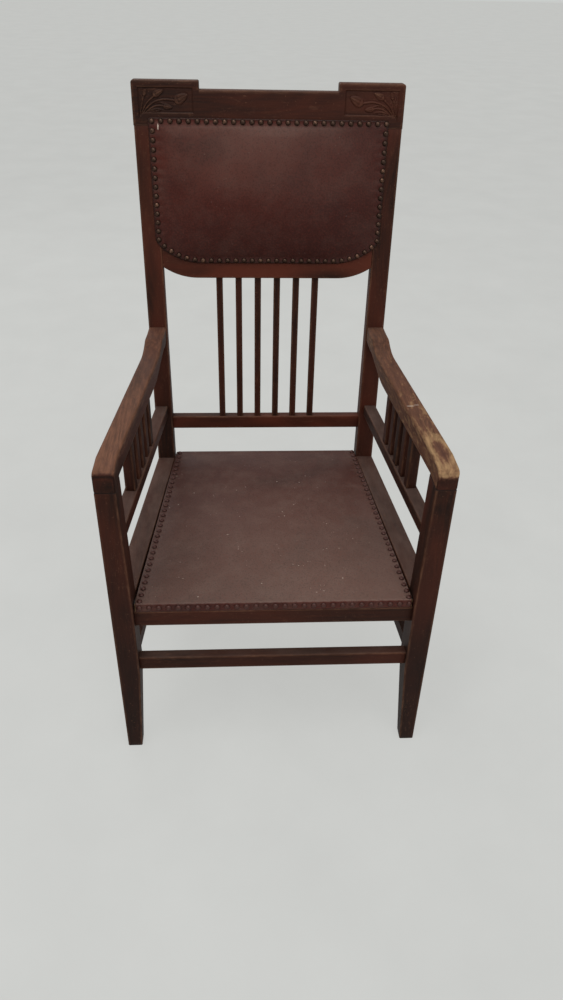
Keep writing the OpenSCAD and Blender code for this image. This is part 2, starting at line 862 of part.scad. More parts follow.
// A domed nail, its head on the plane through the origin
module nail() {
    ball_r = (nail_d * nail_d / 4 + nail_h * nail_h) / (2 * nail_h);
    intersection() {
        translate([0, 0, nail_h - ball_r]) sphere(r = ball_r, $fn = nail_fn);
        cylinder(h = nail_h + over, d = nail_d + 2 * over, $fn = nail_fn);
    }
    translate([0, 0, -shank_l]) cylinder(h = shank_l + nail_h / 2, d = shank_d, $fn = nail_fn);
}

// The back panel, from the frame outwards
module back_canvas() {
    color(canvas) placed() leaning() along_y(-canvas_t, 0) polygon(panel_outline(canvas_inset));
}

module back_stuffing() {
    color(canvas) placed() leaning() translate([0, -canvas_t, 0]) rotate([90, 0, 0])
        crowned_pad(panel_outline(nail_border), panel_crown);
}

module back_leather() {
    color(leather) placed() leaning() translate([0, -canvas_t, 0]) rotate([90, 0, 0])
        crowned_sheet(panel_outline(0), panel_outline(nail_border), panel_crown, leather_t);
}

module back_nails() {
    high = panel_high - nail_inset;
    edge = panel_half - nail_inset;
    color(bronze) placed() leaning() translate([0, -canvas_t - leather_t, 0]) rotate([90, 0, 0]) {
        for (p = nail_row([[-edge, high], [edge, high]], nail_pitch)) translate(p) nail();
        for (p = nail_row(panel_sides(nail_inset), nail_pitch, 1, 1)) translate(p) nail();
    }
}

module back_outer_cover() {
    color(leather) placed() leaning() slab(
        [-post_in - outer_lap, post_top_d, mid_top - outer_lap],
        [post_in + outer_lap, post_top_d + leather_t, crest_up + outer_lap]);
}

module outer_cover_nails() {
    edge = post_in + outer_lap - nail_inset;
    low = mid_top - outer_lap + nail_inset;
    high = crest_up + outer_lap - nail_inset;
    p = [[-edge, low], [edge, low], [edge, high], [-edge, high], [-edge, low]];
    color(bronze) placed() leaning() translate([0, post_top_d + leather_t, 0]) rotate([90, 0, 0])
        for (i = [0:3]) for (q = nail_row([p[i], p[i + 1]], outer_nail_pitch, 0, 1))
            translate(q) mirror([0, 0, 1]) nail();
}

// The loose seat: four bars, webbing let into them, canvas, stuffing and leather
bar_back_y = bar_front + seat_bar_w;
bar_rear_y = seat_back - seat_bar_w;

module webbing_plan() {
    y0 = bar_back_y - strap_hold;
    y1 = bar_rear_y + strap_hold;
    long_pitch = 2 * (seat_x(bar_rear_y) - seat_bar_w) / straps_long;
    cross_pitch = (bar_rear_y - bar_back_y) / straps_cross;
    in = seat_bar_w - strap_hold;
    intersection() {
        polygon([
            [in - seat_x(y0), y0],
            [seat_x(y0) - in, y0],
            [seat_x(y1) - in, y1],
            [in - seat_x(y1), y1]
        ]);
        union() {
            for (i = [1:straps_long])
                translate([(i - (straps_long + 1) / 2) * long_pitch - strap_w / 2, y0])
                    square([strap_w, y1 - y0]);
            for (i = [1:straps_cross])
                translate([-seat_half, bar_back_y + (i - 1 / 2) * cross_pitch - strap_w / 2])
                    square([2 * seat_half, strap_w]);
        }
    }
}

module seat_webbing() {
    color(webbing) placed() along_z(seat_top - strap_t, seat_top) webbing_plan();
}

module seat_bar_tenons(grow = 0) {
    z = seat_bar_z + (seat_frame_t - seat_tenon_t) / 2;
    for (y = [bar_back_y, bar_rear_y]) {
        x = seat_x(y) - seat_bar_w / 2;
        s = y == bar_back_y ? -1 : 1;
        y0 = min(y + s * seat_tenon_l, y - s * over);
        slab([x - seat_bar_w / 4, y0, z], [x + seat_bar_w / 4, y0 + seat_tenon_l + over, z + seat_tenon_t], grow);
    }
}

module seat_bar_cross(y0, y1) {
    color(inner_wood) placed() difference() {
        along_z(seat_bar_z, seat_top) polygon([
            [-seat_x(y0), y0],
            [seat_x(y0), y0],
            [seat_x(y1), y1],
            [-seat_x(y1), y1]
        ]);
        along_z(seat_top - strap_t, seat_top + over) webbing_plan();
        both_sides() seat_bar_tenons(fit);
    }
}

module seat_bar_front() {
    seat_bar_cross(bar_front, bar_back_y);
}

module seat_bar_rear() {
    seat_bar_cross(bar_rear_y, seat_back);
}

module seat_bar_side(side) {
    color(inner_wood) placed() sided(side) {
        difference() {
            along_z(seat_bar_z, seat_top) polygon([
                [seat_x(bar_back_y) - seat_bar_w, bar_back_y],
                [seat_x(bar_back_y), bar_back_y],
                [seat_x(bar_rear_y), bar_rear_y],
                [seat_x(bar_rear_y) - seat_bar_w, bar_rear_y]
            ]);
            along_z(seat_top - strap_t, seat_top + over) webbing_plan();
        }
        seat_bar_tenons();
    }
}

module seat_canvas() {
    y0 = bar_front + canvas_inset;
    y1 = seat_back - canvas_inset;
    color(canvas) placed() along_z(seat_top, seat_leather_z) polygon([
        [canvas_inset - seat_x(y0), y0],
        [seat_x(y0) - canvas_inset, y0],
        [seat_x(y1) - canvas_inset, y1],
        [canvas_inset - seat_x(y1), y1]
    ]);
}

module seat_stuffing() {
    color(canvas) placed() translate([0, 0, seat_leather_z])
        crowned_pad(seat_outline(nail_border), seat_crown);
}

module seat_leather() {
    x = seat_x(bar_front);
    color(leather) placed() {
        translate([0, 0, seat_leather_z])
            crowned_sheet(seat_outline(0), seat_outline(nail_border), seat_crown, leather_t);
        slab([-x, seat_front, seat_bar_z + rest_gap], [x, bar_front, seat_leather_z + leather_t / 2]);
    }
}

module seat_nails() {
    c = seat_corners(seat_nail_inset);
    strip_z = (seat_bar_z + strip_top) / 2;
    x = seat_half - seat_nail_inset;
    color(bronze) placed() {
        for (line = [[c[1], c[2]], [c[0], c[3]]])
            for (p = nail_row(line, seat_nail_pitch)) translate([p[0], p[1], strip_top]) nail();
        for (p = nail_row([[-x, strip_z], [x, strip_z]], seat_nail_pitch))
            translate([p[0], seat_front, p[1]]) rotate([90, 0, 0]) nail();
    }
}

for (s = SIDES) front_leg(s);
for (s = SIDES) rear_post(s);
crest_rail();
back_middle_rail();
lower_back_rail();
for (i = [1:back_slats]) back_slat(i);
seat_rail_front();
seat_rail_rear();
for (s = SIDES) seat_rail_side(s);
for (s = SIDES) seat_bearer(s);
stretcher_front();
stretcher_rear();
for (s = SIDES) stretcher_side(s);
for (s = SIDES) arm(s);
for (s = SIDES) arm_rail(s);
for (s = SIDES) for (i = [1:side_slats])
    side_slat(s, i);
back_canvas();
back_stuffing();
back_leather();
back_nails();
back_outer_cover();
outer_cover_nails();
seat_bar_front();
seat_bar_rear();
for (s = SIDES) seat_bar_side(s);
seat_webbing();
seat_canvas();
seat_stuffing();
seat_leather();
seat_nails();
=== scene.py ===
import math

import bpy
import numpy as np
from bpy.props import FloatProperty, FloatVectorProperty, PointerProperty
from mathutils import Matrix, Vector


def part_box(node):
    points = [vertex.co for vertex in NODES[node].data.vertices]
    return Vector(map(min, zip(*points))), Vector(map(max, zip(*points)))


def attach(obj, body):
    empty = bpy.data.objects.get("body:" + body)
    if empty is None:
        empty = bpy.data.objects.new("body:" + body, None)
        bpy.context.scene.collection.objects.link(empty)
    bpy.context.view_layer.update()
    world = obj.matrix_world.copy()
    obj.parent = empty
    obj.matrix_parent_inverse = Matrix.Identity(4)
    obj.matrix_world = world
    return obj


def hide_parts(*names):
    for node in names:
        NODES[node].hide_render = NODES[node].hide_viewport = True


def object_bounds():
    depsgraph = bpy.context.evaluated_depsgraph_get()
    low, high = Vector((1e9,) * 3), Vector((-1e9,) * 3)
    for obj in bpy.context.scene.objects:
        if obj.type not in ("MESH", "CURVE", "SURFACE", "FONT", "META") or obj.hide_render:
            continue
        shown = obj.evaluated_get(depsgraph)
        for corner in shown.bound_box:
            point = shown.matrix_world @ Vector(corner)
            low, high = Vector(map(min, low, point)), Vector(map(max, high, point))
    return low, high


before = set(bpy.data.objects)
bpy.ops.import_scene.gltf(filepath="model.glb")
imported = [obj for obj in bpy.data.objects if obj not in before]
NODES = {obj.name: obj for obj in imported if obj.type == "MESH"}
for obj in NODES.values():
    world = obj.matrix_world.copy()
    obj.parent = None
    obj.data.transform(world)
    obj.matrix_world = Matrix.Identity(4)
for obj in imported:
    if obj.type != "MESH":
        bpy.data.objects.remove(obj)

bl_info = {
    "name": "Friars chair",
    "version": (1, 0, 0),
    "blender": (4, 5, 0),
    "location": "View3D > Sidebar > Chair",
    "description": "Dresses the chair's packed frame in worn oak, leather and nails",
    "category": "Object",
}

CAD_BOUNDS = [list(corner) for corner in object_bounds()]
HALF_DEPTH = (CAD_BOUNDS[1][1] - CAD_BOUNDS[0][1]) / 2
BOXES = {name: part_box(name) for name in NODES}
SIDES = ((-1, "left"), (1, "right"))


def linear(code):
    """An sRGB hex colour as linear red, green and blue."""
    parts = [int(code[i:i + 2], 16) / 255 for i in (1, 3, 5)]
    return tuple(c / 12.92 if c <= 0.04045 else ((c + 0.055) / 1.055) ** 2.4 for c in parts)


def length(name, text, default, low=0.0, high=2.0):
    """A property that holds a length in metres."""
    return FloatProperty(name=name, description=text, default=default, min=low, max=high,
                         unit="LENGTH", precision=4)


def colour(name, text, code):
    """A property that holds a colour, its default given in sRGB."""
    return FloatVectorProperty(name=name, description=text, default=linear(code), size=3,
                               min=0.0, max=1.0, subtype="COLOR")


class ChairSizes(bpy.types.PropertyGroup):
    """Sizes of the chair's dressed pieces, in metres"""

    edge_r: length("Edge radius", "Rounding of the wooden edges", 0.0018, 0.0002, 0.004)
    arm_edge_r: length("Arm edge radius", "Rounding of the arms' edges", 0.0032, 0.0005, 0.008)
    joint_gap: length("Joint line", "Chamfer where one piece meets another", 0.0006, 0.0, 0.002)
    leg_w: length("Leg width", "Width of a front leg", 0.041, 0.02, 0.08)
    leg_d: length("Leg depth", "Depth of a front leg", 0.053, 0.02, 0.08)
    leg_top_w: length("Leg top width", "Width of a front leg under the arm", 0.036, 0.02, 0.08)
    foot_w: length("Foot width", "Width of a front foot", 0.029, 0.01, 0.08)
    foot_d: length("Foot depth", "Depth of a front foot", 0.028, 0.01, 0.08)
    taper_z: length("Taper height", "Height at which the legs begin to taper", 0.211, 0.05, 0.4)
    post_w: length("Post width", "Width of a rear post", 0.0385, 0.02, 0.08)
    post_d: length("Post depth", "Depth of a rear post at the seat", 0.038, 0.02, 0.08)
    post_top_d: length("Post top depth", "Depth of a rear post at the panel", 0.028, 0.02, 0.06)
    post_taper: length("Post taper", "Height over the seat rails at which a post has thinned",
                       0.415, 0.1, 0.7)
    rear_foot: length("Rear foot", "Width and depth of a rear foot", 0.030, 0.01, 0.06)
    rear_kick: length("Rear kick", "How far a rear foot stands back", 0.033, 0.0, 0.1)
    seat_run: length("Seat run", "From the front legs' face to the rear posts' face",
                     0.527, 0.3, 0.8)
    seat_rail_z: length("Seat rail height", "Top of the side rails", 0.385, 0.2, 0.6)
    seat_rail_h: length("Seat rail depth", "Height of a side rail", 0.050, 0.02, 0.1)
    back_lean: FloatProperty(name="Back lean", description="Lean of the back",
                             default=math.radians(2.3), min=0.0, max=0.3, subtype="ANGLE")
    leather_t: length("Leather thickness", "Thickness of the leather", 0.0015, 0.0005, 0.004)
    seat_crown: length("Seat crown", "Rise of the seat's middle", 0.012, 0.0, 0.05)
    panel_crown: length("Back crown", "Rise of the back panel's middle", 0.013, 0.0, 0.05)
    nail_d: length("Nail head", "Diameter of a nail head", 0.0106, 0.004, 0.014)
    nail_h: length("Nail head height", "Height of a nail head", 0.0042, 0.001, 0.006)
    carve_d: length("Carving depth", "Depth of the crest's sunk panels", 0.0026, 0.0005, 0.005)


class ChairFinishes(bpy.types.PropertyGroup):
    """Colours of the chair's materials"""

    wood_dark: colour("Oak, dark", "Stain in the grain of the oak", "#1f110c")
    wood_mid: colour("Oak, stained", "Stain on the face of the oak", "#33190f")
    wood_red: colour("Oak, red", "Redder patches of the stain", "#54271a")
    wood_worn: colour("Oak, worn", "Stain rubbed thin along the edges", "#6e4c38")
    wood_thin: colour("Oak, handled", "Stain thinned by hands", "#6b4836")
    wood_bare: colour("Oak, bare", "Oak rubbed bare where the hand rests", "#a5835f")
    dust: colour("Dust", "Dust on faces that look up", "#66524a")
    inner: colour("Inner wood", "Unstained wood inside the seat, brown with age", "#80623f")
    leather: colour("Leather", "Face of the leather", "#4a2018")
    leather_deep: colour("Leather, deep", "Darker clouds in the leather", "#2f1511")
    leather_dust: colour("Leather, rubbed", "Rubbed and dusty leather", "#7a655b")
    splash: colour("Splashes", "Specks, splashes and scratches", "#c9b8a8")
    nail: colour("Nails", "Darkened brass of the nails", "#5a4032")
    canvas: colour("Canvas", "Unbleached canvas", "#b3a384")
    jute: colour("Jute", "Jute webbing", "#957f56")
    floor: colour("Floor", "Pale floor", "#d0d1ce")


def sizes():
    """The chair's sizes, as the panel shows them."""
    return bpy.context.scene.chair_sizes


def finishes():
    """The chair's colours, as the panel shows them."""
    return bpy.context.scene.chair_finishes


# Materials


def add(tree, kind, inputs=None, ramp=None, **settings):
    """Adds a node, sets its properties and its inputs, and links the inputs that are sockets."""
    made = tree.nodes.new(kind)
    for key, value in settings.items():
        setattr(made, key, value)
    for key, value in (inputs or {}).items():
        socket = made.inputs[key]
        if isinstance(value, bpy.types.NodeSocket):
            tree.links.new(value, socket)
        elif socket.type == "RGBA" and len(value) == 3:
            socket.default_value = (*value, 1.0)
        else:
            socket.default_value = value
    for point, (place, code) in zip(made.color_ramp.elements if ramp else (), ramp or ()):
        point.position = place
        point.color = (*code, 1.0)
    return made


def span(tree, value, low, high, start=0.0, end=1.0):
    """A value taken from one range to another, and held at the ends."""
    return add(tree, "ShaderNodeMapRange", {"Value": value, "From Min": low, "From Max": high,
                                            "To Min": start, "To Max": end}).outputs[0]


def tint(tree, value, low, dark, high, light):
    """One colour where the value is low, another where it is high, and a run between them."""
    return add(tree, "ShaderNodeValToRGB", {"Fac": value},
               ramp=[(low, dark), (high, light)]).outputs[0]


def sums(tree, kind, a, b):
    """Two values joined by one operation."""
    return add(tree, "ShaderNodeMath", {0: a, 1: b}, operation=kind).outputs[0]


def times(tree, a, b):
    """One value multiplied by another."""
    return sums(tree, "MULTIPLY", a, b)


def plus(tree, a, b):
    """One value added to another."""
    return sums(tree, "ADD", a, b)


def layer(tree, name):
    """A value that the piece's points carry: the wear of its edges, or bare wood."""
    return add(tree, "ShaderNodeAttribute", attribute_name=name).outputs["Fac"]


def parts(tree, vector):
    """The three parts of a place or a direction."""
    return add(tree, "ShaderNodeSeparateXYZ", {"Vector": vector}).outputs


def scaled(tree, vector, size):
    """Places counted in features that have the given real sizes, in metres."""
    return add(tree, "ShaderNodeMapping", {"Vector": vector, "Scale": [1 / s for s in size]}
               ).outputs[0]


def coats(tree, base, *layers):
    """A colour with others laid over it in turn, each by its own share."""
    for share, over in layers:
        made = add(tree, "ShaderNodeMix", {"Factor": share}, data_type="RGBA")
        for key, value in (("A", base), ("B", over)):
            socket = [s for s in made.inputs if s.name == key and s.type == "RGBA"][0]
            if isinstance(value, bpy.types.NodeSocket):
                tree.links.new(value, socket)
            else:
                socket.default_value = (*value, 1.0)
        base = [s for s in made.outputs if s.type == "RGBA"][0]
    return base


def blank(name):
    """A new material without a shader, its nodes, and places in the piece's own frame."""
    made = bpy.data.materials.new(name)
    made.use_nodes = True
    tree = made.node_tree
    tree.nodes.clear()
    return made, tree, add(tree, "ShaderNodeTexCoord").outputs["Object"]


def surface(tree, relief=None, **inputs):
    """The one shader of a material, and its output. Relief is a height, a strength and a depth."""
    if relief:
        inputs["Normal"] = add(tree, "ShaderNodeBump", dict(zip(
            ("Height", "Strength", "Distance"), relief))).outputs[0]
    shader = add(tree, "ShaderNodeBsdfPrincipled",
                 {key.replace("_", " "): value for key, value in inputs.items()})
    add(tree, "ShaderNodeOutputMaterial", {"Surface": shader.outputs[0]})


def pattern(tree, vector, size, detail=3.0, rough=0.5, twist=0.0):
    """Noise whose features have the given real size or sizes, in metres."""
    size = size if isinstance(size, tuple) else (size,) * 3
    return add(tree, "ShaderNodeTexNoise", {
        "Vector": scaled(tree, vector, size), "Scale": 1.0, "Detail": detail,
        "Roughness": rough, "Distortion": twist}).outputs["Fac"]


def spot(tree, place, centre, size, ragged):
    """A small ragged mark at one place of a piece, from its half sizes in metres."""
    away = add(tree, "ShaderNodeVectorMath", {0: place, 1: centre}, operation="SUBTRACT")
    fitted = add(tree, "ShaderNodeVectorMath", {0: away.outputs[0], 1: [1 / s for s in size]},
                 operation="MULTIPLY")
    far = add(tree, "ShaderNodeVectorMath", {0: fitted.outputs[0]}, operation="LENGTH")
    grit = times(tree, pattern(tree, place, 0.0025, 3.0, 0.6), ragged * 2)
    return span(tree, plus(tree, far.outputs["Value"], grit),
                0.8 + ragged, 1.1 + ragged, 1.0, 0.0)


def shade(code, share):
    """A colour made darker or lighter by a share."""
    return tuple(min(1.0, c * share) for c in code)


def facing_up(tree):
    """How far a face looks up, from -1 to 1."""
    return parts(tree, add(tree, "ShaderNodeNewGeometry").outputs["Normal"])["Z"]


def stained_oak(name, red, dust, marks=(), strip=1.0, feet=False):
    """Oak under an old, dark, waxed stain, its grain along the piece. The eye finds a faint arched
    figure, short dark pores, redder patches where the stain has faded, pale rubbed edges, bare
    wood where hands have rested, dirt in the hollows and dust on what looks up."""
    made, tree, here = blank(name)
    paint = finishes()
    # each piece is cut from its own board
    own = add(tree, "ShaderNodeObjectInfo").outputs["Random"]
    away = add(tree, "ShaderNodeCombineXYZ", {
        key: times(tree, own, share) for key, share in (("X", 3.1), ("Y", 7.7), ("Z", 5.3))})
    place = add(tree, "ShaderNodeVectorMath", {0: here, 1: away.outputs[0]},
                operation="ADD").outputs[0]
    edge, bare = layer(tree, "edge"), layer(tree, "bare")
    # the arches of a sawn board: contours of slow noise, about 7 mm apart
    slow = pattern(tree, place, (0.05, 0.05, 0.5), 1.0, 0.4)
    arches = span(tree, sums(tree, "SINE", times(tree, slow, 95.0), 0.0), -1.0, 1.0)
    # fibres and pores are 0.3 mm wide on real oak; 1.2 mm is as fine as the render shows
    fibre = pattern(tree, place, (0.0012, 0.0012, 0.04), 3.0, 0.6)
    streaks = pattern(tree, place, (0.0036, 0.0036, 0.06), 3.0, 0.65)
    tone = plus(tree, times(tree, fibre, 0.36), times(tree, streaks, 0.5))
    tone = plus(tree, tone, times(tree, arches, 0.14))
    # redder and duller clouds a hand wide, and feet darker with age
    clouds = pattern(tree, place, (0.07, 0.07, 0.24), 2.0, 0.5)
    dull = pattern(tree, place, (0.09, 0.09, 0.2), 2.0, 0.5)
    base = coats(tree, tint(tree, tone, 0.34, paint.wood_dark, 0.66, paint.wood_mid),
                 (times(tree, span(tree, clouds, 0.38, 0.68), red), paint.wood_red),
                 (span(tree, dull, 0.5, 0.7, 0.0, 0.22), shade(paint.wood_dark, 0.9)))
    if feet:
        low = span(tree, parts(tree, here)["Z"], 0.56, 0.28, 0.0, 0.55)
        base = coats(tree, base, (low, paint.wood_dark))
    # edges rubbed through the stain in patches, and dirt left in hollows
    patches = span(tree, pattern(tree, place, (0.008, 0.008, 0.035), 5.0, 0.7), 0.44, 0.66, 0.25)
    # knocks have scuffed the polish here and there, in marks a few millimetres long
    scuffs = span(tree, pattern(tree, place, (0.004, 0.004, 0.014), 5.0, 0.75), 0.56, 0.68)
    knocked = span(tree, pattern(tree, place, (0.06, 0.06, 0.12), 2.0, 0.5), 0.48, 0.64, 0.0, 0.4)
    # dust lies on faces that look up
    drift = span(tree, pattern(tree, here, (0.025, 0.025, 0.06), 5.0, 0.65), 0.3, 0.7, 0.35)
    dusty = times(tree, times(tree, span(tree, facing_up(tree), 0.55, 0.98), drift), dust)
    # hands: first the stain thins to brown, then the wood shows, ragged along the grain
    broken = pattern(tree, place, (0.009, 0.009, 0.028), 6.0, 0.68, 0.4)
    uneven = sums(tree, "SUBTRACT", broken, 0.5)
    thinned = plus(tree, bare, uneven)
    gone = plus(tree, times(tree, bare, strip), times(tree, uneven, 1.4 * strip))
    thin = tint(tree, tone, 0.36, shade(paint.wood_thin, 0.72), 0.64, shade(paint.wood_thin, 1.3))
    pale = tint(tree, tone, 0.3, shade(paint.wood_bare, 0.68), 0.62, paint.wood_bare)
    # specks of grit and old paint, 1 mm across
    specks = span(tree, pattern(tree, place, 0.003, 1.0, 0.5), 0.72, 0.78, 0.0, 0.5)
    base = coats(tree, base,
                 (times(tree, times(tree, edge, patches), 0.55), paint.wood_worn),
                 (times(tree, edge, -1.0), shade(paint.wood_dark, 0.5)),
                 (times(tree, scuffs, knocked), paint.wood_worn),
                 (dusty, paint.dust),
                 (span(tree, thinned, 0.1, 0.55, 0.0, 0.85), thin),
                 (span(tree, gone, 0.48, 0.8), pale),
                 (specks, paint.wood_worn),
                 *((spot(tree, here, *mark), paint.splash) for mark in marks))
    matt = times(tree, plus(tree, dusty, span(tree, gone, 0.4, 0.7, 0.0, 0.4)), 0.4)
    rough = plus(tree, span(tree, fibre, 0.3, 0.7, 0.68, 0.56), matt)
    relief = plus(tree, tone, times(tree, specks, 0.6))
    surface(tree, (relief, 0.3, 0.0006), Base_Color=base, Roughness=rough, IOR=1.45,
            Specular_IOR_Level=0.15)
    return made


def bare_softwood(name):
    """Unstained pine of the seat's own frame, planed: pale, dry and matt, with wide soft rings."""
    made, tree, here = blank(name)
    pine = finishes().inner
    rings = pattern(tree, here, (0.007, 0.12, 0.007), 3.0, 0.5, 0.4)
    grime = span(tree, pattern(tree, here, 0.06, 4.0, 0.6), 0.45, 0.7, 0.0, 0.5)
    base = coats(tree, tint(tree, rings, 0.3, shade(pine, 0.55), 0.65, pine),
                 (grime, shade(pine, 0.4)))
    surface(tree, (rings, 0.3, 0.0005), Base_Color=base, Roughness=0.75)
    return made


def old_hide(name, rub, darker, settle, dusty=(), marks=()):
    """Vegetable-tanned cowhide, dyed red-brown and waxed: a fine pebbled grain, cloudy where the
    dye has faded, greyer where it is rubbed or dusty, with a low soft gloss. Settle says where
    the crown looks up enough for dust; dusty and darker shade the hide along an axis."""
    made, tree, here = blank(name)
    paint = finishes()
    up, places = facing_up(tree), parts(tree, here)
    clouds = pattern(tree, here, 0.15, 3.0, 0.5, 0.3)
    base = coats(
        tree, tint(tree, clouds, 0.22, paint.leather_deep, 0.48, paint.leather),
        (span(tree, up, settle[0], settle[1], 0.0, settle[2]), paint.leather_dust),
        *((times(tree, span(tree, places[axis], low, high, 0.0, share),
                 span(tree, up, 0.3, 0.8)), paint.leather_dust)
          for axis, low, high, share in dusty),
        *((span(tree, places[axis], low, high, 0.0, share), paint.leather_deep)
          for axis, low, high, share in darker))
    rubbed = span(tree, pattern(tree, here, 0.05, 8.0, 0.7), 0.45, 0.75, 0.0, rub)
    # the border is darker towards its edge, and the worn grain shows as mottling 3 mm across
    border = layer(tree, "edge")
    mottle = pattern(tree, here, 0.0035, 3.0, 0.7)
    # specks of dust 1.5 mm across lie here and there
    specks = span(tree, pattern(tree, here, 0.0036, 0.0, 0.5), 0.79, 0.83, 0.0, rub * rub * 4)
    strewn = span(tree, pattern(tree, here, 0.03, 1.0, 0.5), 0.58, 0.62)
    base = coats(tree, base,
                 (rubbed, paint.leather_dust),
                 (times(tree, border, 0.85), paint.wood_dark),
                 (span(tree, mottle, 0.5, 0.66, 0.0, 0.34), shade(paint.leather, 1.5)),
                 (span(tree, mottle, 0.5, 0.36, 0.0, 0.34), shade(paint.leather_deep, 0.9)),
                 (times(tree, specks, strewn), paint.splash),
                 *((times(tree, spot(tree, here, *mark), 0.75), paint.splash) for mark in marks))
    # pebbled grain 1.6 mm across, as fine as the render shows
    cells = add(tree, "ShaderNodeTexVoronoi",
                {"Vector": scaled(tree, here, [0.0016] * 3), "Scale": 1.0},
                feature="DISTANCE_TO_EDGE").outputs["Distance"]
    creases = pattern(tree, here, 0.014, 6.0, 0.6, 1.0)
    relief = plus(tree, times(tree, span(tree, cells, 0.0, 0.12), 0.3),
                  times(tree, creases, 1.2))
    surface(tree, (relief, 0.3, 0.0008), Base_Color=base, IOR=1.5, Specular_IOR_Level=0.15,
            Roughness=span(tree, rubbed, 0.0, 0.5, 0.45, 0.66))
    return made


def dull_brass(name, coat=0.0):
    """Stamped brass, darkened by age and, on the seat, by leather dressing: dirt and painted shade
    round the rim, brighter on the crown of a few domes."""
    made, tree, here = blank(name)
    paint = finishes()
    crown = layer(tree, "edge")
    blots = span(tree, pattern(tree, here, 0.005, 4.0, 0.6), 0.35, 0.6)
    # the rim is darkened with dirt and painted shade where the dome meets the leather
    base = coats(tree, shade(paint.nail, 0.32),
                 (times(tree, crown, blots), shade(paint.nail, 1.6)),
                 (coat, shade(paint.leather, 0.9)),
                 (times(tree, crown, -1.0), shade(paint.leather_deep, 0.3)))
    surface(tree, Base_Color=base, Roughness=0.38 + 0.2 * coat, Metallic=0.75 - 0.6 * coat)
    return made


def woven(name, yarn, thread):
    """Plain-woven cloth: threads over and under each other at the thread spacing, in metres, and
    brown grime in broad clouds. Yarn names its colour."""
    made, tree, here = blank(name)
    code = getattr(finishes(), yarn)
    # a wave repeats every 0.314 units, so one thread takes one spacing
    fine = scaled(tree, here, [thread / 0.314] * 3)
    waves = [add(tree, "ShaderNodeTexWave",
                 {"Vector": fine, "Scale": 1.0, "Distortion": 0.4, "Detail": 2.0},
                 bands_direction=axis).outputs["Fac"] for axis in "XY"]
    cloth = times(tree, *waves)
    grime = pattern(tree, here, 0.05, 5.0, 0.6)
    base = coats(tree, code, (span(tree, cloth, 0.0, 1.0, 0.6, 0.0), shade(code, 0.35)),
                 (span(tree, grime, 0.4, 0.7, 0.0, 0.45), shade(code, 0.5)))
    surface(tree, (cloth, 0.6, 0.0005), Base_Color=base, Roughness=0.88)
    return made


# marks: an old splash of paint across the top of the right arm, in two strokes, and a scratch
# that shows the pale flesh of the hide beside the first nail of the side
PAINT_SPLASH = (((0.0346, -0.0128, 0.2235), (0.006, 0.0103, 0.0014), 0.3),
                ((0.0346, -0.0011, 0.2275), (0.006, 0.0074, 0.001), 0.3))
SCRATCH = (((-0.2098, 0.7177, 0.012), (0.0014, 0.0065, 0.02), 0.35),)
MATERIALS = {
    "frame": (stained_oak, "stained_oak", {"red": 0.4, "dust": 0.4}),
    "leg": (stained_oak, "stained_oak_legs", {"red": 0.6, "dust": 0.3, "feet": True}),
    "post": (stained_oak, "stained_oak_posts", {"red": 0.75, "dust": 0.3, "feet": True}),
    "rail": (stained_oak, "stained_oak_red", {"red": 1.6, "dust": 0.2}),
    "side_rail": (stained_oak, "stained_oak_dusty", {"red": 0.5, "dust": 0.7}),
    "crest": (stained_oak, "stained_oak_crest", {"red": 0.35, "dust": 0.35}),
    "arm_left": (stained_oak, "stained_oak_left_arm", {"red": 0.6, "dust": 0.4, "strip": 0.6}),
    "arm_right": (stained_oak, "stained_oak_right_arm",
                  {"red": 0.6, "dust": 0.4, "marks": PAINT_SPLASH}),
    "inner": (bare_softwood, "planed_pine", {}),
    "back_hide": (old_hide, "back_cowhide", {
        "rub": 0.12, "settle": (0.03, 0.26, 0.36), "marks": SCRATCH,
        # darker towards the foot of the panel, partly the hide's own fading and partly painted
        # shade, and darker towards its right side
        "darker": (("Y", 0.64, 0.48, 0.8), ("X", 0.0, 0.22, 0.55))}),
    "seat_hide": (old_hide, "seat_cowhide", {
        "rub": 0.4, "settle": (0.7, 1.0, 0.2), "dusty": (("Y", 0.45, 0.0, 0.6),),
        "darker": (("Y", 0.25, 0.5, 0.35), ("X", 0.05, -0.26, 0.35))}),
    "nails": (dull_brass, "darkened_brass", {}),
    "seat_nails": (dull_brass, "dressed_brass", {"coat": 0.75}),
    "canvas": (woven, "unbleached_canvas", {"yarn": "canvas", "thread": 0.0016}),
    "jute": (woven, "jute_webbing", {"yarn": "jute", "thread": 0.003}),
}
READY = {}


def material(key):
    """One of the chair's materials, made when it is first asked for."""
    if key not in READY:
        maker, name, settings = MATERIALS[key]
        READY[key] = maker(name, **settings)
    return READY[key]


# Shapes

ALONG_X = Matrix(((0, 0, 1, 0), (1, 0, 0, 0), (0, 1, 0, 0), (0, 0, 0, 1)))
ALONG_Y = Matrix(((0, 1, 0, 0), (0, 0, 1, 0), (1, 0, 0, 0), (0, 0, 0, 1)))
ALONG_Z = Matrix.Identity(4)
AXES = {"x": (ALONG_X, (1, 2)), "z": (ALONG_Z, (0, 1))}  # a bar's turn, and its section's axes
FACE_UP = Matrix.Rotation(math.radians(90), 4, "X")
FACE_BACK = Matrix.Rotation(math.radians(-90), 4, "X")

# wear of an edge runs from 1, rubbed pale, to -1, full of dirt; on a nail's rim it is dirt and
# painted shade
JOINT_DIRT = -0.9
END_GRAIN_DIRT = -0.3
# a nail's dark rim: dirt, and painted shade where the dome meets the leather
RIM_SHADE_AND_DIRT = -0.8
SOFT_EDGE = 0.0025  # how far the wear of an edge reaches over a face
BIG_CHAMFER = 0.001  # an end chamfered more than this stands free, and no piece meets it
RING_STEP = 0.014  # widest spacing of the rings along a bar
BEND = 0.29  # 1 - cos 45 degrees: how far in the middle of a rounded edge lies, in radii
END_GRAIN = 0.004  # width of the dirty rim on a free end


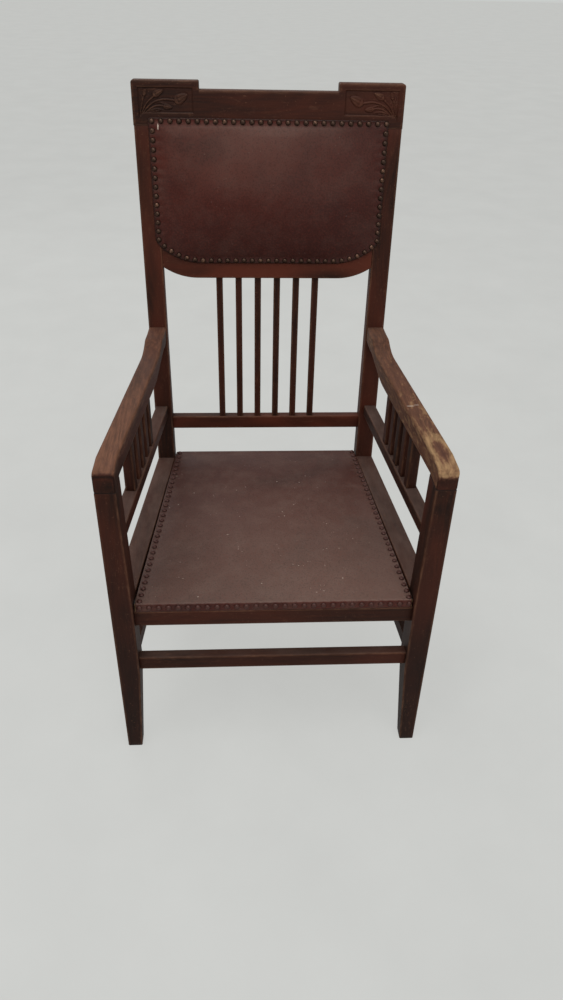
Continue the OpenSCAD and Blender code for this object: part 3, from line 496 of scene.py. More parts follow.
def placed():
    """From measures taken from the front legs' face to the chair's own frame."""
    return Matrix.Translation((0, -HALF_DEPTH, 0))


def leaning():
    """The frame of the back, whose floor is the top of the seat rails at the posts' face."""
    s = sizes()
    return (placed() @ Matrix.Translation((0, s.seat_run, s.seat_rail_z))
            @ Matrix.Rotation(-s.back_lean, 4, "X"))


def node_points(node, where):
    """A CAD node's points, as measured in a frame."""
    back = where.inverted()
    return np.array([tuple(back @ v.co) for v in NODES[node].data.vertices])


def leaning_box(node):
    """A CAD node's lowest and highest corner in the leaning frame of the back."""
    co = node_points(node, leaning())
    return co.min(0), co.max(0)


def tube_faces(rings, n, base=0):
    """Faces between rings of n points that close on themselves."""
    return [(base + j * n + i, base + j * n + (i + 1) % n,
             base + (j + 1) * n + (i + 1) % n, base + (j + 1) * n + i)
            for j in range(rings - 1) for i in range(n)]


def net_faces(rows, n, base=0):
    """Faces of an open net, in rows of n points."""
    return [(base + i * n + j, base + (i + 1) * n + j,
             base + (i + 1) * n + j + 1, base + i * n + j + 1)
            for i in range(rows - 1) for j in range(n - 1)]


def piece(name, points, faces, body, key, node, edge=None, where=ALONG_Z, bare=None):
    """A new object that rides on a body, stands for CAD nodes and has a material."""
    mesh = bpy.data.meshes.new(name)
    mesh.from_pydata([tuple(p) for p in points], [], [tuple(int(i) for i in f) for f in faces])
    mesh.validate()
    for layer, values in (("edge", edge), ("bare", bare)):
        if values is not None:
            data = mesh.attributes.new(layer, "FLOAT", "POINT").data
            data.foreach_set("value", np.asarray(values, np.float32))
    mesh.polygons.foreach_set("use_smooth", [True] * len(mesh.polygons))
    made = bpy.data.objects.new(name, mesh)
    bpy.context.scene.collection.objects.link(made)
    made.matrix_world = where
    mesh.materials.append(material(key))
    nodes = [node] if isinstance(node, str) else list(node)
    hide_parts(*nodes)
    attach(made, body)
    return made


def side_marks(width, r):
    """Places along one side of a section, between its rounded corners, with how worn each is."""
    soft = np.minimum(SOFT_EDGE, (width / 2 - r) * 0.55)
    return [(r, 1.0), (r + soft, 0.0), (width / 2, 0.0), (width - r - soft, 0.0),
            (width - r, 1.0)]


def section(u0, u1, v0, v1, r):
    """A rectangle with rounded corners, anticlockwise, as points and their wear."""
    r = min(r, (u1 - u0) * 0.45, (v1 - v0) * 0.45)
    cut = r * (1 - math.sqrt(0.5))
    points, worn = [], []
    for a, b, size in (((u0, v0), (1, 0), u1 - u0), ((u1, v0), (0, 1), v1 - v0),
                       ((u1, v1), (-1, 0), u1 - u0), ((u0, v1), (0, -1), v1 - v0)):
        for place, wear in side_marks(size, r):
            points.append((a[0] + b[0] * place, a[1] + b[1] * place))
            worn.append(wear)
        end = (a[0] + b[0] * size, a[1] + b[1] * size)
        turn = (-b[1], b[0])
        points.append((end[0] - b[0] * cut + turn[0] * cut, end[1] - b[1] * cut + turn[1] * cut))
        worn.append(1.0)
    return points, worn


def end_wear(wear, draw, tip):
    """Wear of a point on a ring that is drawn in by an end's chamfer."""
    if draw > tip * 2:
        return END_GRAIN_DIRT
    if draw > BIG_CHAMFER:
        return max(wear, 0.9)
    return JOINT_DIRT if draw > 0 else wear


def loft(stations, r, tip, tip_end):
    """A bar with rounded edges and chamfered ends. A station is (t, u0, u1, v0, v1); between
    stations the sides run straight."""
    keys = np.array(stations, float)
    tip_end = tip if tip_end is None else tip_end
    t = [keys[0, 0]]
    for a, b in zip(keys[:-1, 0], keys[1:, 0]):
        n = max(1, int(math.ceil((b - a) / RING_STEP)))
        t += [a + (b - a) * i / n for i in range(1, n + 1)]
    marks = [(t[0], tip), (t[0] + tip * BEND, tip * BEND), (t[0] + tip, 0.0)]
    marks += [(x, 0.0) for x in t[1:-1] if t[0] + tip * 1.5 < x < t[-1] - tip_end * 1.5]
    marks += [(t[-1] - tip_end, 0.0), (t[-1] - tip_end * BEND, tip_end * BEND), (t[-1], tip_end)]
    if tip > BIG_CHAMFER:
        marks.insert(0, (t[0], tip + END_GRAIN))
    points, worn = [], []
    for x, draw in marks:
        u0, u1, v0, v1 = (np.interp(x, keys[:, 0], keys[:, k]) for k in range(1, 5))
        ring, wear = section(u0 + draw, u1 - draw, v0 + draw, v1 - draw, r)
        points += [(p[0], p[1], x) for p in ring]
        worn += [end_wear(w, draw, tip) for w in wear]
    n = len(ring)
    ends = [tuple(reversed(range(n))), tuple(range((len(marks) - 1) * n, len(marks) * n))]
    return points, tube_faces(len(marks), n) + ends, worn


def bar(name, stations, key="frame", axis=ALONG_Z, frame_of=None, r=None, tip=None,
        tip_end=None, rubbed=None, kept=None):
    """A lofted wooden bar that stands for the CAD node of its name. Some places are rubbed bare,
    and some edges have kept their stain."""
    s = sizes()
    points, faces, worn = loft(stations, s.edge_r if r is None else r,
                               s.joint_gap if tip is None else tip, tip_end)
    bare = [rubbed(*p) for p in points] if rubbed else None
    if kept:
        worn = [min(w, 1 - kept(*p)) for w, p in zip(worn, points)]
    # the object's own origin lies at its first station, so the grain differs from bar to bar
    shift = Vector(points[0])
    points = [Vector(p) - shift for p in points]
    where = (frame_of or placed()) @ axis @ Matrix.Translation(shift)
    return piece(name + "_wood", points, faces, "frame", key, name, worn, where, bare)


def box_bar(name, axis, ends, key="frame", lean=False, r=None):
    """A straight bar from a CAD node's own box, its ends cut back to where it shows."""
    low, high = leaning_box(name) if lean else [np.array(c) for c in BOXES[name]]
    if not lean:
        low, high = low + (0, HALF_DEPTH, 0), high + (0, HALF_DEPTH, 0)
    turn, (u, v) = AXES[axis]
    stations = [(end, low[u], high[u], low[v], high[v]) for end in ends]
    return bar(name, stations, key, turn, leaning() if lean else None, r)


def across(low, high, side):
    """Bounds across the chair on one side of it."""
    return (low, high) if side > 0 else (-high, -low)


def kick(z):
    """How far a rear post is kicked back at a height, from 0 at the seat to 1 at the floor."""
    s = sizes()
    knee = s.seat_rail_z - s.seat_rail_h
    return (1 - z / knee) ** 2 if z < knee else 0.0


def post_front(z):
    """The front face of a rear post at a height."""
    s = sizes()
    lean = max(z - s.seat_rail_z, 0) * math.tan(s.back_lean)
    return s.seat_run + s.rear_kick * kick(z) + lean


def post_back(z):
    """The rear face of a rear post at a height."""
    s = sizes()
    if z <= s.seat_rail_z:
        return s.seat_run + s.post_d + (s.rear_kick + s.rear_foot - s.post_d) * kick(z)
    share = min(1.0, (z - s.seat_rail_z) / s.post_taper)
    return post_front(z) + (s.post_d + (s.post_top_d - s.post_d) * share) / math.cos(s.back_lean)


def half_w():
    """Half the chair's width at the front legs."""
    return BOXES["front_leg_right"][1][0]


def half_b():
    """Half the chair's width at the rear posts."""
    return BOXES["rear_post_right"][1][0]


def side_x(y):
    """The outer line of the chair's sides in plan."""
    s = sizes()
    share = min(max((y - s.leg_d) / (s.seat_run - s.leg_d), 0), 1)
    return half_w() - (half_w() - half_b()) * share


# Frame of the chair

FREE_TIP = 0.002  # chamfer of a foot
KICK_STEP, KICK_STEPS = 0.03, 11  # heights at which the curve of a rear leg is drawn
STRETCHER_HALF = 0.35  # half thickness of a side stretcher, in its heights
STRETCHER_IN = 0.38  # place of a side stretcher across the front leg, from its inner face
ARM_H, ARM_W, ARM_NOSE = 0.040, 0.036, 0.010
ARM_TIP = 0.0022  # chamfer of an arm's front end
ARM_RAIL_SET = (0.029, 0.002)  # inner and outer face of an arm rail, from the chair's side
BACK_SLAT_R, SIDE_SLAT_R, SIDE_SLAT_HALF = 0.0012, 0.0014, 0.010
SLAT_HOLD = 0.0008  # how far a side slat goes into the arm
MIDDLE_FLAT, MIDDLE_ARC = 0.145, 0.125  # straight part of the middle rail's foot, and its arc


def make_legs():
    """Front legs, tapered on their inner and rear faces."""
    s = sizes()
    for side, word in SIDES:
        stations = [(z, *across(half_w() - inner, half_w(), side), 0.0, back)
                    for z, inner, back in (
                        (0, s.foot_w, s.foot_d), (s.taper_z, s.leg_w, s.leg_d),
                        (s.seat_rail_z, s.leg_w, s.leg_d),
                        (BOXES["arm_right"][0][2], s.leg_top_w, s.leg_d))]
        bar(f"front_leg_{word}", stations, "leg", tip=FREE_TIP, tip_end=s.joint_gap)


def make_posts():
    """Rear posts, in one piece from the floor to the crest rail."""
    s = sizes()
    crest_z = s.seat_rail_z + leaning_box("crest_rail")[0][2] * math.cos(s.back_lean)
    heights = [i * KICK_STEP for i in range(KICK_STEPS)]
    heights += [s.seat_rail_z - s.seat_rail_h, s.seat_rail_z]
    heights += [s.seat_rail_z + s.post_taper, crest_z]
    for side, word in SIDES:
        stations = []
        for z in heights:
            wide = s.rear_foot + (s.post_w - s.rear_foot) * min(1, z / s.taper_z)
            bounds = across(half_b() - wide, half_b(), side)
            stations.append((z, *bounds, post_front(z), post_back(z)))
        bar(f"rear_post_{word}", stations, "post", tip=FREE_TIP, tip_end=s.joint_gap)


def make_rails():
    """Rails and stretchers, each cut back to the faces that it meets."""
    s = sizes()
    leg_in, post_in = half_w() - s.leg_w, half_b() - s.post_w
    for name, half in (("seat_rail_front", leg_in), ("stretcher_front", leg_in),
                       ("seat_rail_rear", post_in), ("stretcher_rear", post_in)):
        box_bar(name, "x", (-half, half))
    box_bar("lower_back_rail", "x", (-post_in, post_in), "rail", lean=True)

    def side_bar(name, key, bounds):
        """A rail along a side of the chair, from its inner and outer face at some distances."""
        low, high = BOXES[name]
        bar(name, [(y, low[2], high[2], *across(a, b, side)) for y, a, b in bounds], key, ALONG_Y)

    for side, word in SIDES:
        side_bar(f"seat_rail_{word}", "side_rail",
                 [(y, a, side_x(y)) for y, a in ((s.leg_d, leg_in), (s.seat_run, post_in))])
        name = f"stretcher_{word}"
        low, high = BOXES[name]
        half = (high[2] - low[2]) * STRETCHER_HALF
        ends = ((s.leg_d, leg_in + s.leg_w * STRETCHER_IN),
                (post_front((low[2] + high[2]) / 2), half_b() - s.post_w / 2))
        side_bar(name, "frame", [(y, mid - half, mid + half) for y, mid in ends])
        name = f"arm_rail_{word}"
        low, high = BOXES[name]
        inner, outer = ARM_RAIL_SET
        side_bar(name, "side_rail",
                 [(y, side_x(y) - inner, side_x(y) - outer)
                  for y in (s.leg_d, s.seat_run, post_front((low[2] + high[2]) / 2))])


def make_slats():
    """Six slats in the back and five under each arm."""
    s = sizes()
    ends = (leaning_box("lower_back_rail")[1][2], leaning_box("back_middle_rail")[0][2])
    for i in range(1, 7):
        box_bar(f"back_slat_{i}", "z", ends, lean=True, r=BACK_SLAT_R)
    turn = math.atan((half_w() - half_b()) / (s.seat_run - s.leg_d))
    w = SIDE_SLAT_HALF
    for side, word in SIDES:
        for i in range(1, 6):
            name = f"side_slat_{word}_{i}"
            low, high = BOXES[name]
            mid = (low + high) / 2
            here = Matrix.Translation((mid[0], mid[1], 0)) @ Matrix.Rotation(side * turn, 4, "Z")
            stations = [(z, -w, w, -w, w) for z in (BOXES["arm_rail_right"][1][2],
                                                    BOXES["arm_right"][0][2] + SLAT_HOLD)]
            bar(name, stations, frame_of=here, r=SIDE_SLAT_R)


def ramp(value, low, high):
    """0 at low, 1 at high, smooth between; low may be the larger."""
    t = min(max((value - low) / (high - low), 0.0), 1.0)
    return t * t * (3 - 2 * t)


def bell(a, middle, reach):
    """1 at a middle, falling away on both sides of it."""
    return math.exp(-((a - middle) / reach) ** 2)


def hand_wear(side, lower, upper):
    """How far hands have rubbed each place of an arm. The right arm is bare at its front and
    thinned along its inner face, round a patch that kept its stain; the left arm is only thinned.
    """
    def at(z, x, y):
        """Wear at a height, a place across and a distance from the front."""
        a = (abs(x) - side_x(y) + ARM_W) / ARM_W  # 0 at the inner face, 1 at the outer
        v = (z - lower(y)) / max(upper(y) - lower(y), 1e-6)
        top, front = ramp(v, 0.7, 0.97), ramp(y, 0.17, 0.06)
        inner = bell(a, 0, 0.28) * ramp(v, 0.4, 0.95)
        outer = bell(a, 1, 0.15) * ramp(v, 0.6, 0.98)
        if side < 0:
            return ramp(y, 0.001, 0.006) * max(top * (0.24 + 0.26 * ramp(y, 0.42, 0.1)),
                                               inner * 0.36, outer * (0.2 + 0.25 * front))
        if y <= 0.002:
            return 0.7 * ramp(v, 0.68, 0.92)
        kept = (bell(y, 0.052, 0.022) * bell(a, 0.6, 0.2)
                + bell(y, 0.082, 0.014) * bell(a, 0.4, 0.17))
        palm = bell(a, 0, 0.12) * ramp(v, -0.3, 0.1)
        rubbed = max(top * (0.34 + 0.13 * ramp(y, 0.36, 0.2) + 0.3 * front),
                     inner * (0.38 + 0.16 * ramp(y, 0.32, 0.12)), palm * (0.42 + 0.02 * front),
                     outer * 0.6 * front, 0.42 * front * ramp(v, 0.0, 0.4))
        return rubbed - 0.7 * kept * top
    return at


def make_arms():
    """Arms with a rounded nose, level on top and swept up just before the posts."""
    s = sizes()
    arm_z = BOXES["arm_right"][0][2]
    top = arm_z + ARM_H
    # the sweep ends at the kink; the underside rises in a longer one of its own
    kink, run, rise, end_rise = s.seat_run - 0.040, 0.057, 0.020, 0.004
    under_end, under_run, under_rise = s.seat_run - 0.017, 0.130, 0.028
    end = post_front(top + 0.01)
    big = (run * run + rise * rise) / (2 * rise)

    def upper(y):
        """Height of the arm's top."""
        if y < ARM_NOSE:
            return top - ARM_NOSE + math.sqrt(max(ARM_NOSE * ARM_NOSE - (ARM_NOSE - y) ** 2, 0))
        if y <= kink - run:
            return top
        if y <= kink:
            return top + big - math.sqrt(big * big - (y - kink + run) ** 2)
        return top + rise + end_rise * (y - kink) / (end - kink)

    def lower(y):
        """Height of the arm's underside."""
        t = min(max((y - under_end + under_run) / under_run, 0), 1)
        level = end_rise * max(0, y - under_end) / (end - under_end)
        return arm_z + under_rise * t * t * (3 - 2 * t) + level

    def low_nose(z, x, y):
        """1 on the lower half of the nose, whose edges have kept their stain."""
        return ramp(y, ARM_NOSE, ARM_NOSE / 2) * ramp(z, top - ARM_NOSE / 2, top - ARM_NOSE)

    places = [0, 0.0006, 0.0016, 0.003, 0.005, 0.0075, ARM_NOSE, s.leg_d]
    places += [s.leg_d + (kink - run - s.leg_d) * i / 16 for i in range(1, 17)]
    places += [kink - run + run * i / 8 for i in range(1, 8)] + [kink - 0.0015, kink + 0.0015]
    places += [under_end - under_run + under_run * i / 8 for i in range(9)] + [end]
    places = sorted(set(round(float(y), 5) for y in places))
    for side, word in SIDES:
        stations = [(y, lower(y), upper(y), *across(side_x(y) - ARM_W, side_x(y), side))
                    for y in places]
        bar(f"arm_{word}", stations, f"arm_{word}", ALONG_Y, r=s.arm_edge_r, tip=ARM_TIP,
            tip_end=s.joint_gap, rubbed=hand_wear(side, lower, upper), kept=low_nose)


def make_middle_rail():
    """The rail under the back's leather, its foot turned up to the posts in an arc at each end."""
    low, high = leaning_box("back_middle_rail")
    post_in = half_b() - sizes().post_w
    places = [MIDDLE_FLAT + (post_in - MIDDLE_FLAT) * i / 10 for i in range(11)]
    stations = []
    for x in [-x for x in reversed(places)] + places:
        out = max(0.0, abs(x) - MIDDLE_FLAT)
        foot = low[2] + MIDDLE_ARC - math.sqrt(MIDDLE_ARC * MIDDLE_ARC - out * out)
        stations.append((x, 0.0, high[1], foot, high[2]))
    bar("back_middle_rail", stations, "rail", ALONG_X, leaning())


# Carved crest rail

# stems and buds of one sunk panel, in millimetres from its outer lower corner, inwards and up
STEMS = (
    ([(2, -16), (4, -8), (9, 5), (17, 17), (29, 27)], 1.7),
    ([(3, -17), (7, -5), (16, 8), (30, 18), (46, 22.5), (60, 22), (72, 20)], 1.9),
    ([(4, -18), (9, -5), (20, 5), (31, 11), (43, 12), (50, 11)], 1.7),
    ([(2, -14), (3, -3), (6, 10), (11, 27)], 1.2),
    ([(5, -12), (14, -3), (24, 1.5), (38, 3)], 1.0),
)
# centre, half length, half width and the direction in degrees that the bud points
BUDS = (((38, 33.5), 10.5, 5.4, 27), ((80, 24.5), 13, 7.8, 27), ((55, 10), 8.5, 4.3, -6),
        ((13.5, 34), 6, 3.4, 72))
LEAVES = (([(16, 1), (26, 5), (36, 6.5), (46, 4)], 2.4),
          ([(31, 17), (40, 17.5), (47, 15), (55, 14)], 1.5),
          ([(7, 10), (8.5, 22), (6, 33)], 1.8))

EAR_W, EAR_H = 0.125, 0.015  # one raised end
CREST_LAP = 0.034  # how far the posts reach up into the crest rail
CREST_R, CREST_OUTER_R = 0.003, 0.005  # its edges and inner corners, and its outer corners
CREST_EDGE = (0, 0.0004, 0.001, 0.002, CREST_R)  # places where a rounded edge is drawn
# rings round its rear edge: how far before the back and how far drawn in, in radii, and wear
CREST_BACK = ((1.0, 0.0, 0.4), (0.62, 0.08, 1.0), (BEND, BEND, 1.0), (0.0, 1.0, 0.15))
FINE_NET, PLAIN_NET = 0.0009, 0.012  # spacing of the net on the carving and between the ends
EDGE_REACH = 0.006  # how far the wear of the outline reaches over the face
SUNK_MARGIN, SUNK_W, SUNK_H, CURL = 0.0115, 0.102, 0.043, 0.016
SUNK_WALL = 0.0012  # width of the slope round a sunk panel
MM, NEAR = 0.001, 1e-9


def near_path(x, z, path):
    """Distance from each place to a line of points, and how far along the line that is, 0 to 1."""
    best, along, done = np.full(x.shape, 9.0), np.zeros(x.shape), 0.0
    total = sum(math.dist(a, b) for a, b in zip(path[:-1], path[1:]))
    for a, b in zip(path[:-1], path[1:]):
        d = (b[0] - a[0], b[1] - a[1])
        size = math.hypot(*d)
        t = np.clip(((x - a[0]) * d[0] + (z - a[1]) * d[1]) / size ** 2, 0, 1)
        gap = np.hypot(x - a[0] - t * d[0], z - a[1] - t * d[1])
        along = np.where(gap < best, (done + t * size) / total, along)
        best = np.minimum(best, gap)
        done += size
    return best, along


def curve_through(points, n=24):
    """A smooth line through given points."""
    p = np.array(points, float)
    out = []
    for value in np.linspace(0, len(p) - 1, n):
        i = min(int(value), len(p) - 2)
        f = value - i
        p0, p1, p2, p3 = p[max(i - 1, 0)], p[i], p[i + 1], p[min(i + 2, len(p) - 1)]
        out.append(0.5 * (2 * p1 + (p2 - p0) * f + (2 * p0 - 5 * p1 + 4 * p2 - p3) * f ** 2
                          + (3 * p1 - p0 - 3 * p2 + p3) * f ** 3))
    return [tuple(q) for q in out]


def bud_height(a, b, size, wide):
    """A closed poppy bud: a pointed oval, cut into petals by grooves that meet at its tip."""
    along = a / size
    shape = np.sqrt(np.clip(1 - along ** 2, 0, 1)) * (1 - 0.42 * along) * 1.08
    across_bud = b / (wide * np.maximum(shape, 1e-3))
    inside = np.clip(1 - across_bud ** 2, 0, 1) * (np.abs(along) < 1)
    groove = 0.4 * np.exp(-((np.abs(across_bud) - 0.36) / 0.13) ** 2) * (along > -0.55)
    calyx = 0.35 * np.exp(-((along + 0.5) / 0.1) ** 2)
    return np.where(inside > 0, np.sqrt(inside) * (1 - groove - calyx), 0)


def carving(x, z):
    """Height of the carving over the sunk floor, and how deep the gouge has cut beside it."""
    x, z = x / MM, z / MM
    height, beside = np.zeros(x.shape), np.full(x.shape, 9.0)
    for points, wide in STEMS:
        gap, along = near_path(x, z, curve_through(points))
        half = wide * (0.6 + 0.35 * along)
        height = np.maximum(height, 0.85 * np.sqrt(np.clip(1 - (gap / half) ** 2, 0, 1)))
        beside = np.minimum(beside, np.abs(gap - half - 0.5))
    for points, wide in LEAVES:
        gap, along = near_path(x, z, curve_through(points))
        half = wide * np.sin(math.pi * np.clip(along, 0.05, 0.97))
        height = np.maximum(height, 0.7 * np.clip(1 - (gap / np.maximum(half, 0.2)) ** 2, 0, 1))
    for (cx, cz), size, wide, turn in BUDS:
        c, s = math.cos(math.radians(turn)), math.sin(math.radians(turn))
        a, b = (x - cx) * c + (z - cz) * s, -(x - cx) * s + (z - cz) * c
        height = np.maximum(height, bud_height(a, b, size, wide))
        beside = np.minimum(beside, np.abs(np.hypot(a / size, b / wide) - 1.08) * wide)
    return height, np.exp(-(beside / 0.9) ** 2) * (height < 0.1)


def crest_floor():
    """Height in the leaning frame of the joint between posts and crest rail."""
    return leaning_box("rear_post_right")[1][2] - CREST_LAP


def crest_marks(a, b, pitch):
    """Places from a to b at a pitch, and closer where both edges are rounded."""
    n = max(1, int(round((b - a - 2 * CREST_R) / pitch)))
    return ([a + e for e in CREST_EDGE]
            + [a + CREST_R + (b - a - 2 * CREST_R) * i / n for i in range(1, n)]
            + [b - e for e in reversed(CREST_EDGE)])


def crest_face(x, z, wide, z0, z1, step_x, step_z):
    """Depth and wear of the crest rail's face: rounded at its outline, sunk and carved, with
    painted highlights on the sunk panel's level lips and, with wear, on the carving's ridges.
    """
    on_ear = np.abs(x) >= step_x - NEAR
    gap = np.minimum(np.minimum(z - z0 + 0.0024, np.where(on_ear, z1, step_z) - z),
                     wide - np.abs(x))
    beside_step = (np.abs(x) >= step_x) & (z > step_z)
    gap = np.minimum(gap, np.where(beside_step, np.abs(x) - step_x, 1.0))
    y = CREST_R - np.sqrt(np.clip(CREST_R * CREST_R - np.clip(CREST_R - gap, 0, CREST_R) ** 2,
                                  0, None))
    worn = np.clip(1 - gap / EDGE_REACH, 0, 1)
    # the sunk panel, whose outer lower corner curls down round the leather
    px, pz = wide - SUNK_MARGIN - np.abs(x), z - (z1 - SUNK_MARGIN - SUNK_H)
    inside = np.minimum(np.minimum(px, SUNK_W - px), np.minimum(pz, SUNK_H - pz))
    tail = np.minimum(np.minimum(px, -pz + 0.001), np.hypot(px - CURL, pz + CURL) - CURL)
    inside = np.maximum(inside, np.where((pz < 0.001) & (px < CURL) & (pz > -CURL), tail, -1))
    wall = np.clip(inside / SUNK_WALL, 0, 1)
    wall = wall * wall * (3 - 2 * wall)
    # its carving, and the marks of the gouge on its floor
    raised, gouged = carving(px, pz)
    floor = raised < 0.05
    rough_cut = 0.07 * np.sin(px * 2600 + 3 * np.sin(pz * 900)) * np.sin(pz * 2100) * floor
    rim = np.exp(-((inside - 0.0013) / 0.0007) ** 2) * floor
    sunk = sizes().carve_d * wall * (0.85 * (1 - np.clip(raised, 0, 1)) + 0.25 * gouged
                                     + 0.3 * rim + rough_cut)
    y = y + np.where(np.abs(x) > step_x, sunk, 0)
    # the carving's ridges are lighter: rubbed wear, and a painted highlight where light catches
    # them
    worn = np.maximum(worn, np.clip(raised, 0, 1) ** 2 * (wall > 0.5))
    worn = np.where((wall > 0.3) & (raised < 0.2), 0.06 - 0.56 * np.maximum(gouged, rim), worn)
    # a painted highlight along the level lips of the sunk panel, where light from above catches
    # them
    level = np.minimum(np.abs(pz), np.abs(SUNK_H - pz))
    lip_highlight = np.exp(-((level - 0.0007) / 0.0008) ** 2) * (px > 0) * (px < SUNK_W) * (wall < 0.3)
    return y, np.maximum(worn, lip_highlight * (np.abs(x) > step_x))


def round_corners(x, z, wide, z1, step_x):
    """The crest rail's net, drawn in at the outer and inner upper corners of its raised ends."""
    for cx, r, way in ((wide, CREST_OUTER_R, 1), (step_x, CREST_R, -1)):
        a = (np.abs(x) - (cx - way * r)) * way / r
        b = (z - (z1 - r)) / r
        hit = (a > 0) & (b > 0) & (np.abs(x) >= step_x - NEAR)
        scale = np.where(hit, np.maximum(a, b) / np.maximum(np.hypot(a, b), 1e-9), 1)
        x = np.where(hit, np.sign(x) * (cx - way * r + way * a * scale * r), x)
        z = np.where(hit, z1 - r + b * scale * r, z)
    return x, z


def make_crest():
    """The crest rail: its face as a fine net, its sides and back as a few rings round it."""
    high = leaning_box("crest_rail")[1]
    wide, z0, z1, thick = high[0], crest_floor(), high[2], high[1]
    step_x, step_z = wide - EAR_W, z1 - EAR_H
    block = crest_marks(step_x, wide, FINE_NET)
    middle = crest_marks(-step_x, step_x, PLAIN_NET)[1:-1]
    columns = [-x for x in reversed(block)] + middle + block
    rows = [z for z in crest_marks(z0, step_z, FINE_NET) if z < step_z - NEAR] + [step_z]
    rows += [step_z + (z1 - CREST_R - step_z) * i / 12 for i in range(1, 13)]
    rows += [z1 - e for e in reversed(CREST_EDGE[:-1])]
    x, z = np.meshgrid(np.array(columns), np.array(rows), indexing="ij")
    keep = (np.abs(x) >= step_x - NEAR) | (z <= step_z + NEAR)
    y, worn = crest_face(x, z, wide, z0, z1, step_x, step_z)
    x, z = round_corners(x, z, wide, z1, step_x)
    index = -np.ones(x.shape, int)
    index[keep] = np.arange(keep.sum())
    points = [tuple(p) for p in np.stack([x[keep], y[keep], z[keep]], 1)]
    wear = list(worn[keep])
    quads = [(index[i, j], index[i + 1, j], index[i + 1, j + 1], index[i, j + 1])
             for i in range(len(columns) - 1) for j in range(len(rows) - 1)]
    faces = [quad for quad in quads if min(quad) >= 0]
    # the outline: edges that only one face has
    edges = dict.fromkeys(pair for quad in faces for pair in zip(quad, quad[1:] + quad[:1]))
    following = {a: b for a, b in edges if (b, a) not in edges}
    loop = [next(iter(following))]
    while following[loop[-1]] != loop[0]:
        loop.append(following[loop[-1]])
    # sides and back, with the same rounding
    base = np.array([points[i] for i in loop])
    inward = inward_of(base)
    last = loop
    for before, draw, rub in CREST_BACK:
        ring = [len(points) + i for i in range(len(loop))]
        for p, n in zip(base, inward * CREST_R * draw):
            points.append((p[0] + n[0], thick - CREST_R * before, p[2] + n[1]))
            wear.append(rub)
        faces += [(last[i], last[i - 1], ring[i - 1], ring[i]) for i in range(len(loop))]
        last = ring
    faces.append(tuple(reversed(last)))
    piece("crest_rail_carved", [(p[1], p[2], p[0]) for p in points], faces, "frame", "crest",
          "crest_rail", wear, leaning() @ ALONG_X)


def inward_of(loop):
    """Unit directions that point into a closed outline in the XZ plane."""
    p = loop[:, [0, 2]]
    ahead, behind = np.roll(p, -1, 0) - p, p - np.roll(p, 1, 0)
    way = (ahead / (np.linalg.norm(ahead, axis=1)[:, None] + 1e-12)
           + behind / (np.linalg.norm(behind, axis=1)[:, None] + 1e-12))
    way /= np.linalg.norm(way, axis=1)[:, None] + 1e-12
    area = 0.5 * np.sum(p[:, 0] * np.roll(p[:, 1], -1) - np.roll(p[:, 0], -1) * p[:, 1])
    return np.stack([-way[:, 1], way[:, 0]], 1) * (1 if area > 0 else -1)


# Leather and cloth

BORDER = 0.0125  # width of the flat leather outside the nails' row
BORDER_DARKENING = ((1.0,), (0.9,), (0.5,))  # darker first rings of the border
PANEL_FLAT, PANEL_ARC = 0.135, 0.124  # straight part of the back leather's foot, and its arcs
PANEL_SWELL, SEAT_SWELL = 0.9, 0.92  # share of a crown that the stuffing gives before it settles
SETTLE_NET, SHEET_NET = 0.008, 0.012  # spacing of the simulated net and of a flat sheet
SETTLE_FRAMES, SETTLE_PRESSURE = 20, 1.6
HELD_BELOW = 0.02  # share of the stuffing's height under which the leather is held
PULL_R, CREASE_W, CREASE_L = 0.0058, 0.0035, 0.013  # dip round a nail, and its crease inwards
CREASE_SHARE, CREASE_START = 0.6, -0.004
FOLD = 0.004  # bend of the seat's leather over its front bar
SWELL, SWELL_W = 0.001, 0.0045  # how the leather swells between the nails of its front edge
SLACK = 0.0005  # how far the outer cover hangs in
STRAP_W, STRAP_HOLD, STRAP_T = 0.050, 0.016, 0.0009  # width, lap on a bar and thickness
STRAP_N, STRAP_STEP, STRAP_DROP = 7, 0.008, 0.0003  # its net, and how deep it lies
STRAP_WAVE, STRAP_BEND, STRAP_SAG, STRAP_CUP = 0.00055, 0.03, 0.0014, 0.00025
CANVAS_T, CANVAS_INSET = 0.001, 0.002
DOME_TOP, NAIL_APART = 0.0004, 0.004  # what counts as a dome's top, and as another nail
NAIL_RINGS = ((1.0, 0.0), (0.985, 0.16), (0.9, 0.42), (0.74, 0.68), (0.5, 0.87), (0.25, 0.97))
NAIL_SIDES, NAIL_SUNK = 14, 0.0002


def walk(points, n):
    """n places spread evenly along a line of points, its last left out."""
    p = np.array(points, float)
    d = np.concatenate([[0], np.cumsum(np.linalg.norm(np.diff(p, axis=0), axis=1))])
    t = np.linspace(0, d[-1], n, endpoint=False)
    return np.stack([np.interp(t, d, p[:, k]) for k in range(2)], 1)


def mirrored(right, n):
    """An outline of n places, from the points of its right half."""
    return walk(right + [(-x, y) for x, y in reversed(right)], n)


def turned(corner, before, after, r, n=6):
    """A corner of an outline, rounded by an arc-like curve."""
    corner, before, after = map(np.array, (corner, before, after))
    a = corner + (before - corner) / np.linalg.norm(before - corner) * r
    b = corner + (after - corner) / np.linalg.norm(after - corner) * r
    return [tuple((1 - t) ** 2 * a + 2 * t * (1 - t) * corner + t * t * b)
            for t in np.linspace(0, 1, n)]


def filled(away, reach):
    """How high stuffing stands: 0 at an edge, 1 from its reach inwards, rounder near the top."""
    return 1 - (1 - np.clip(away / reach, 0, 1)) ** 2.3


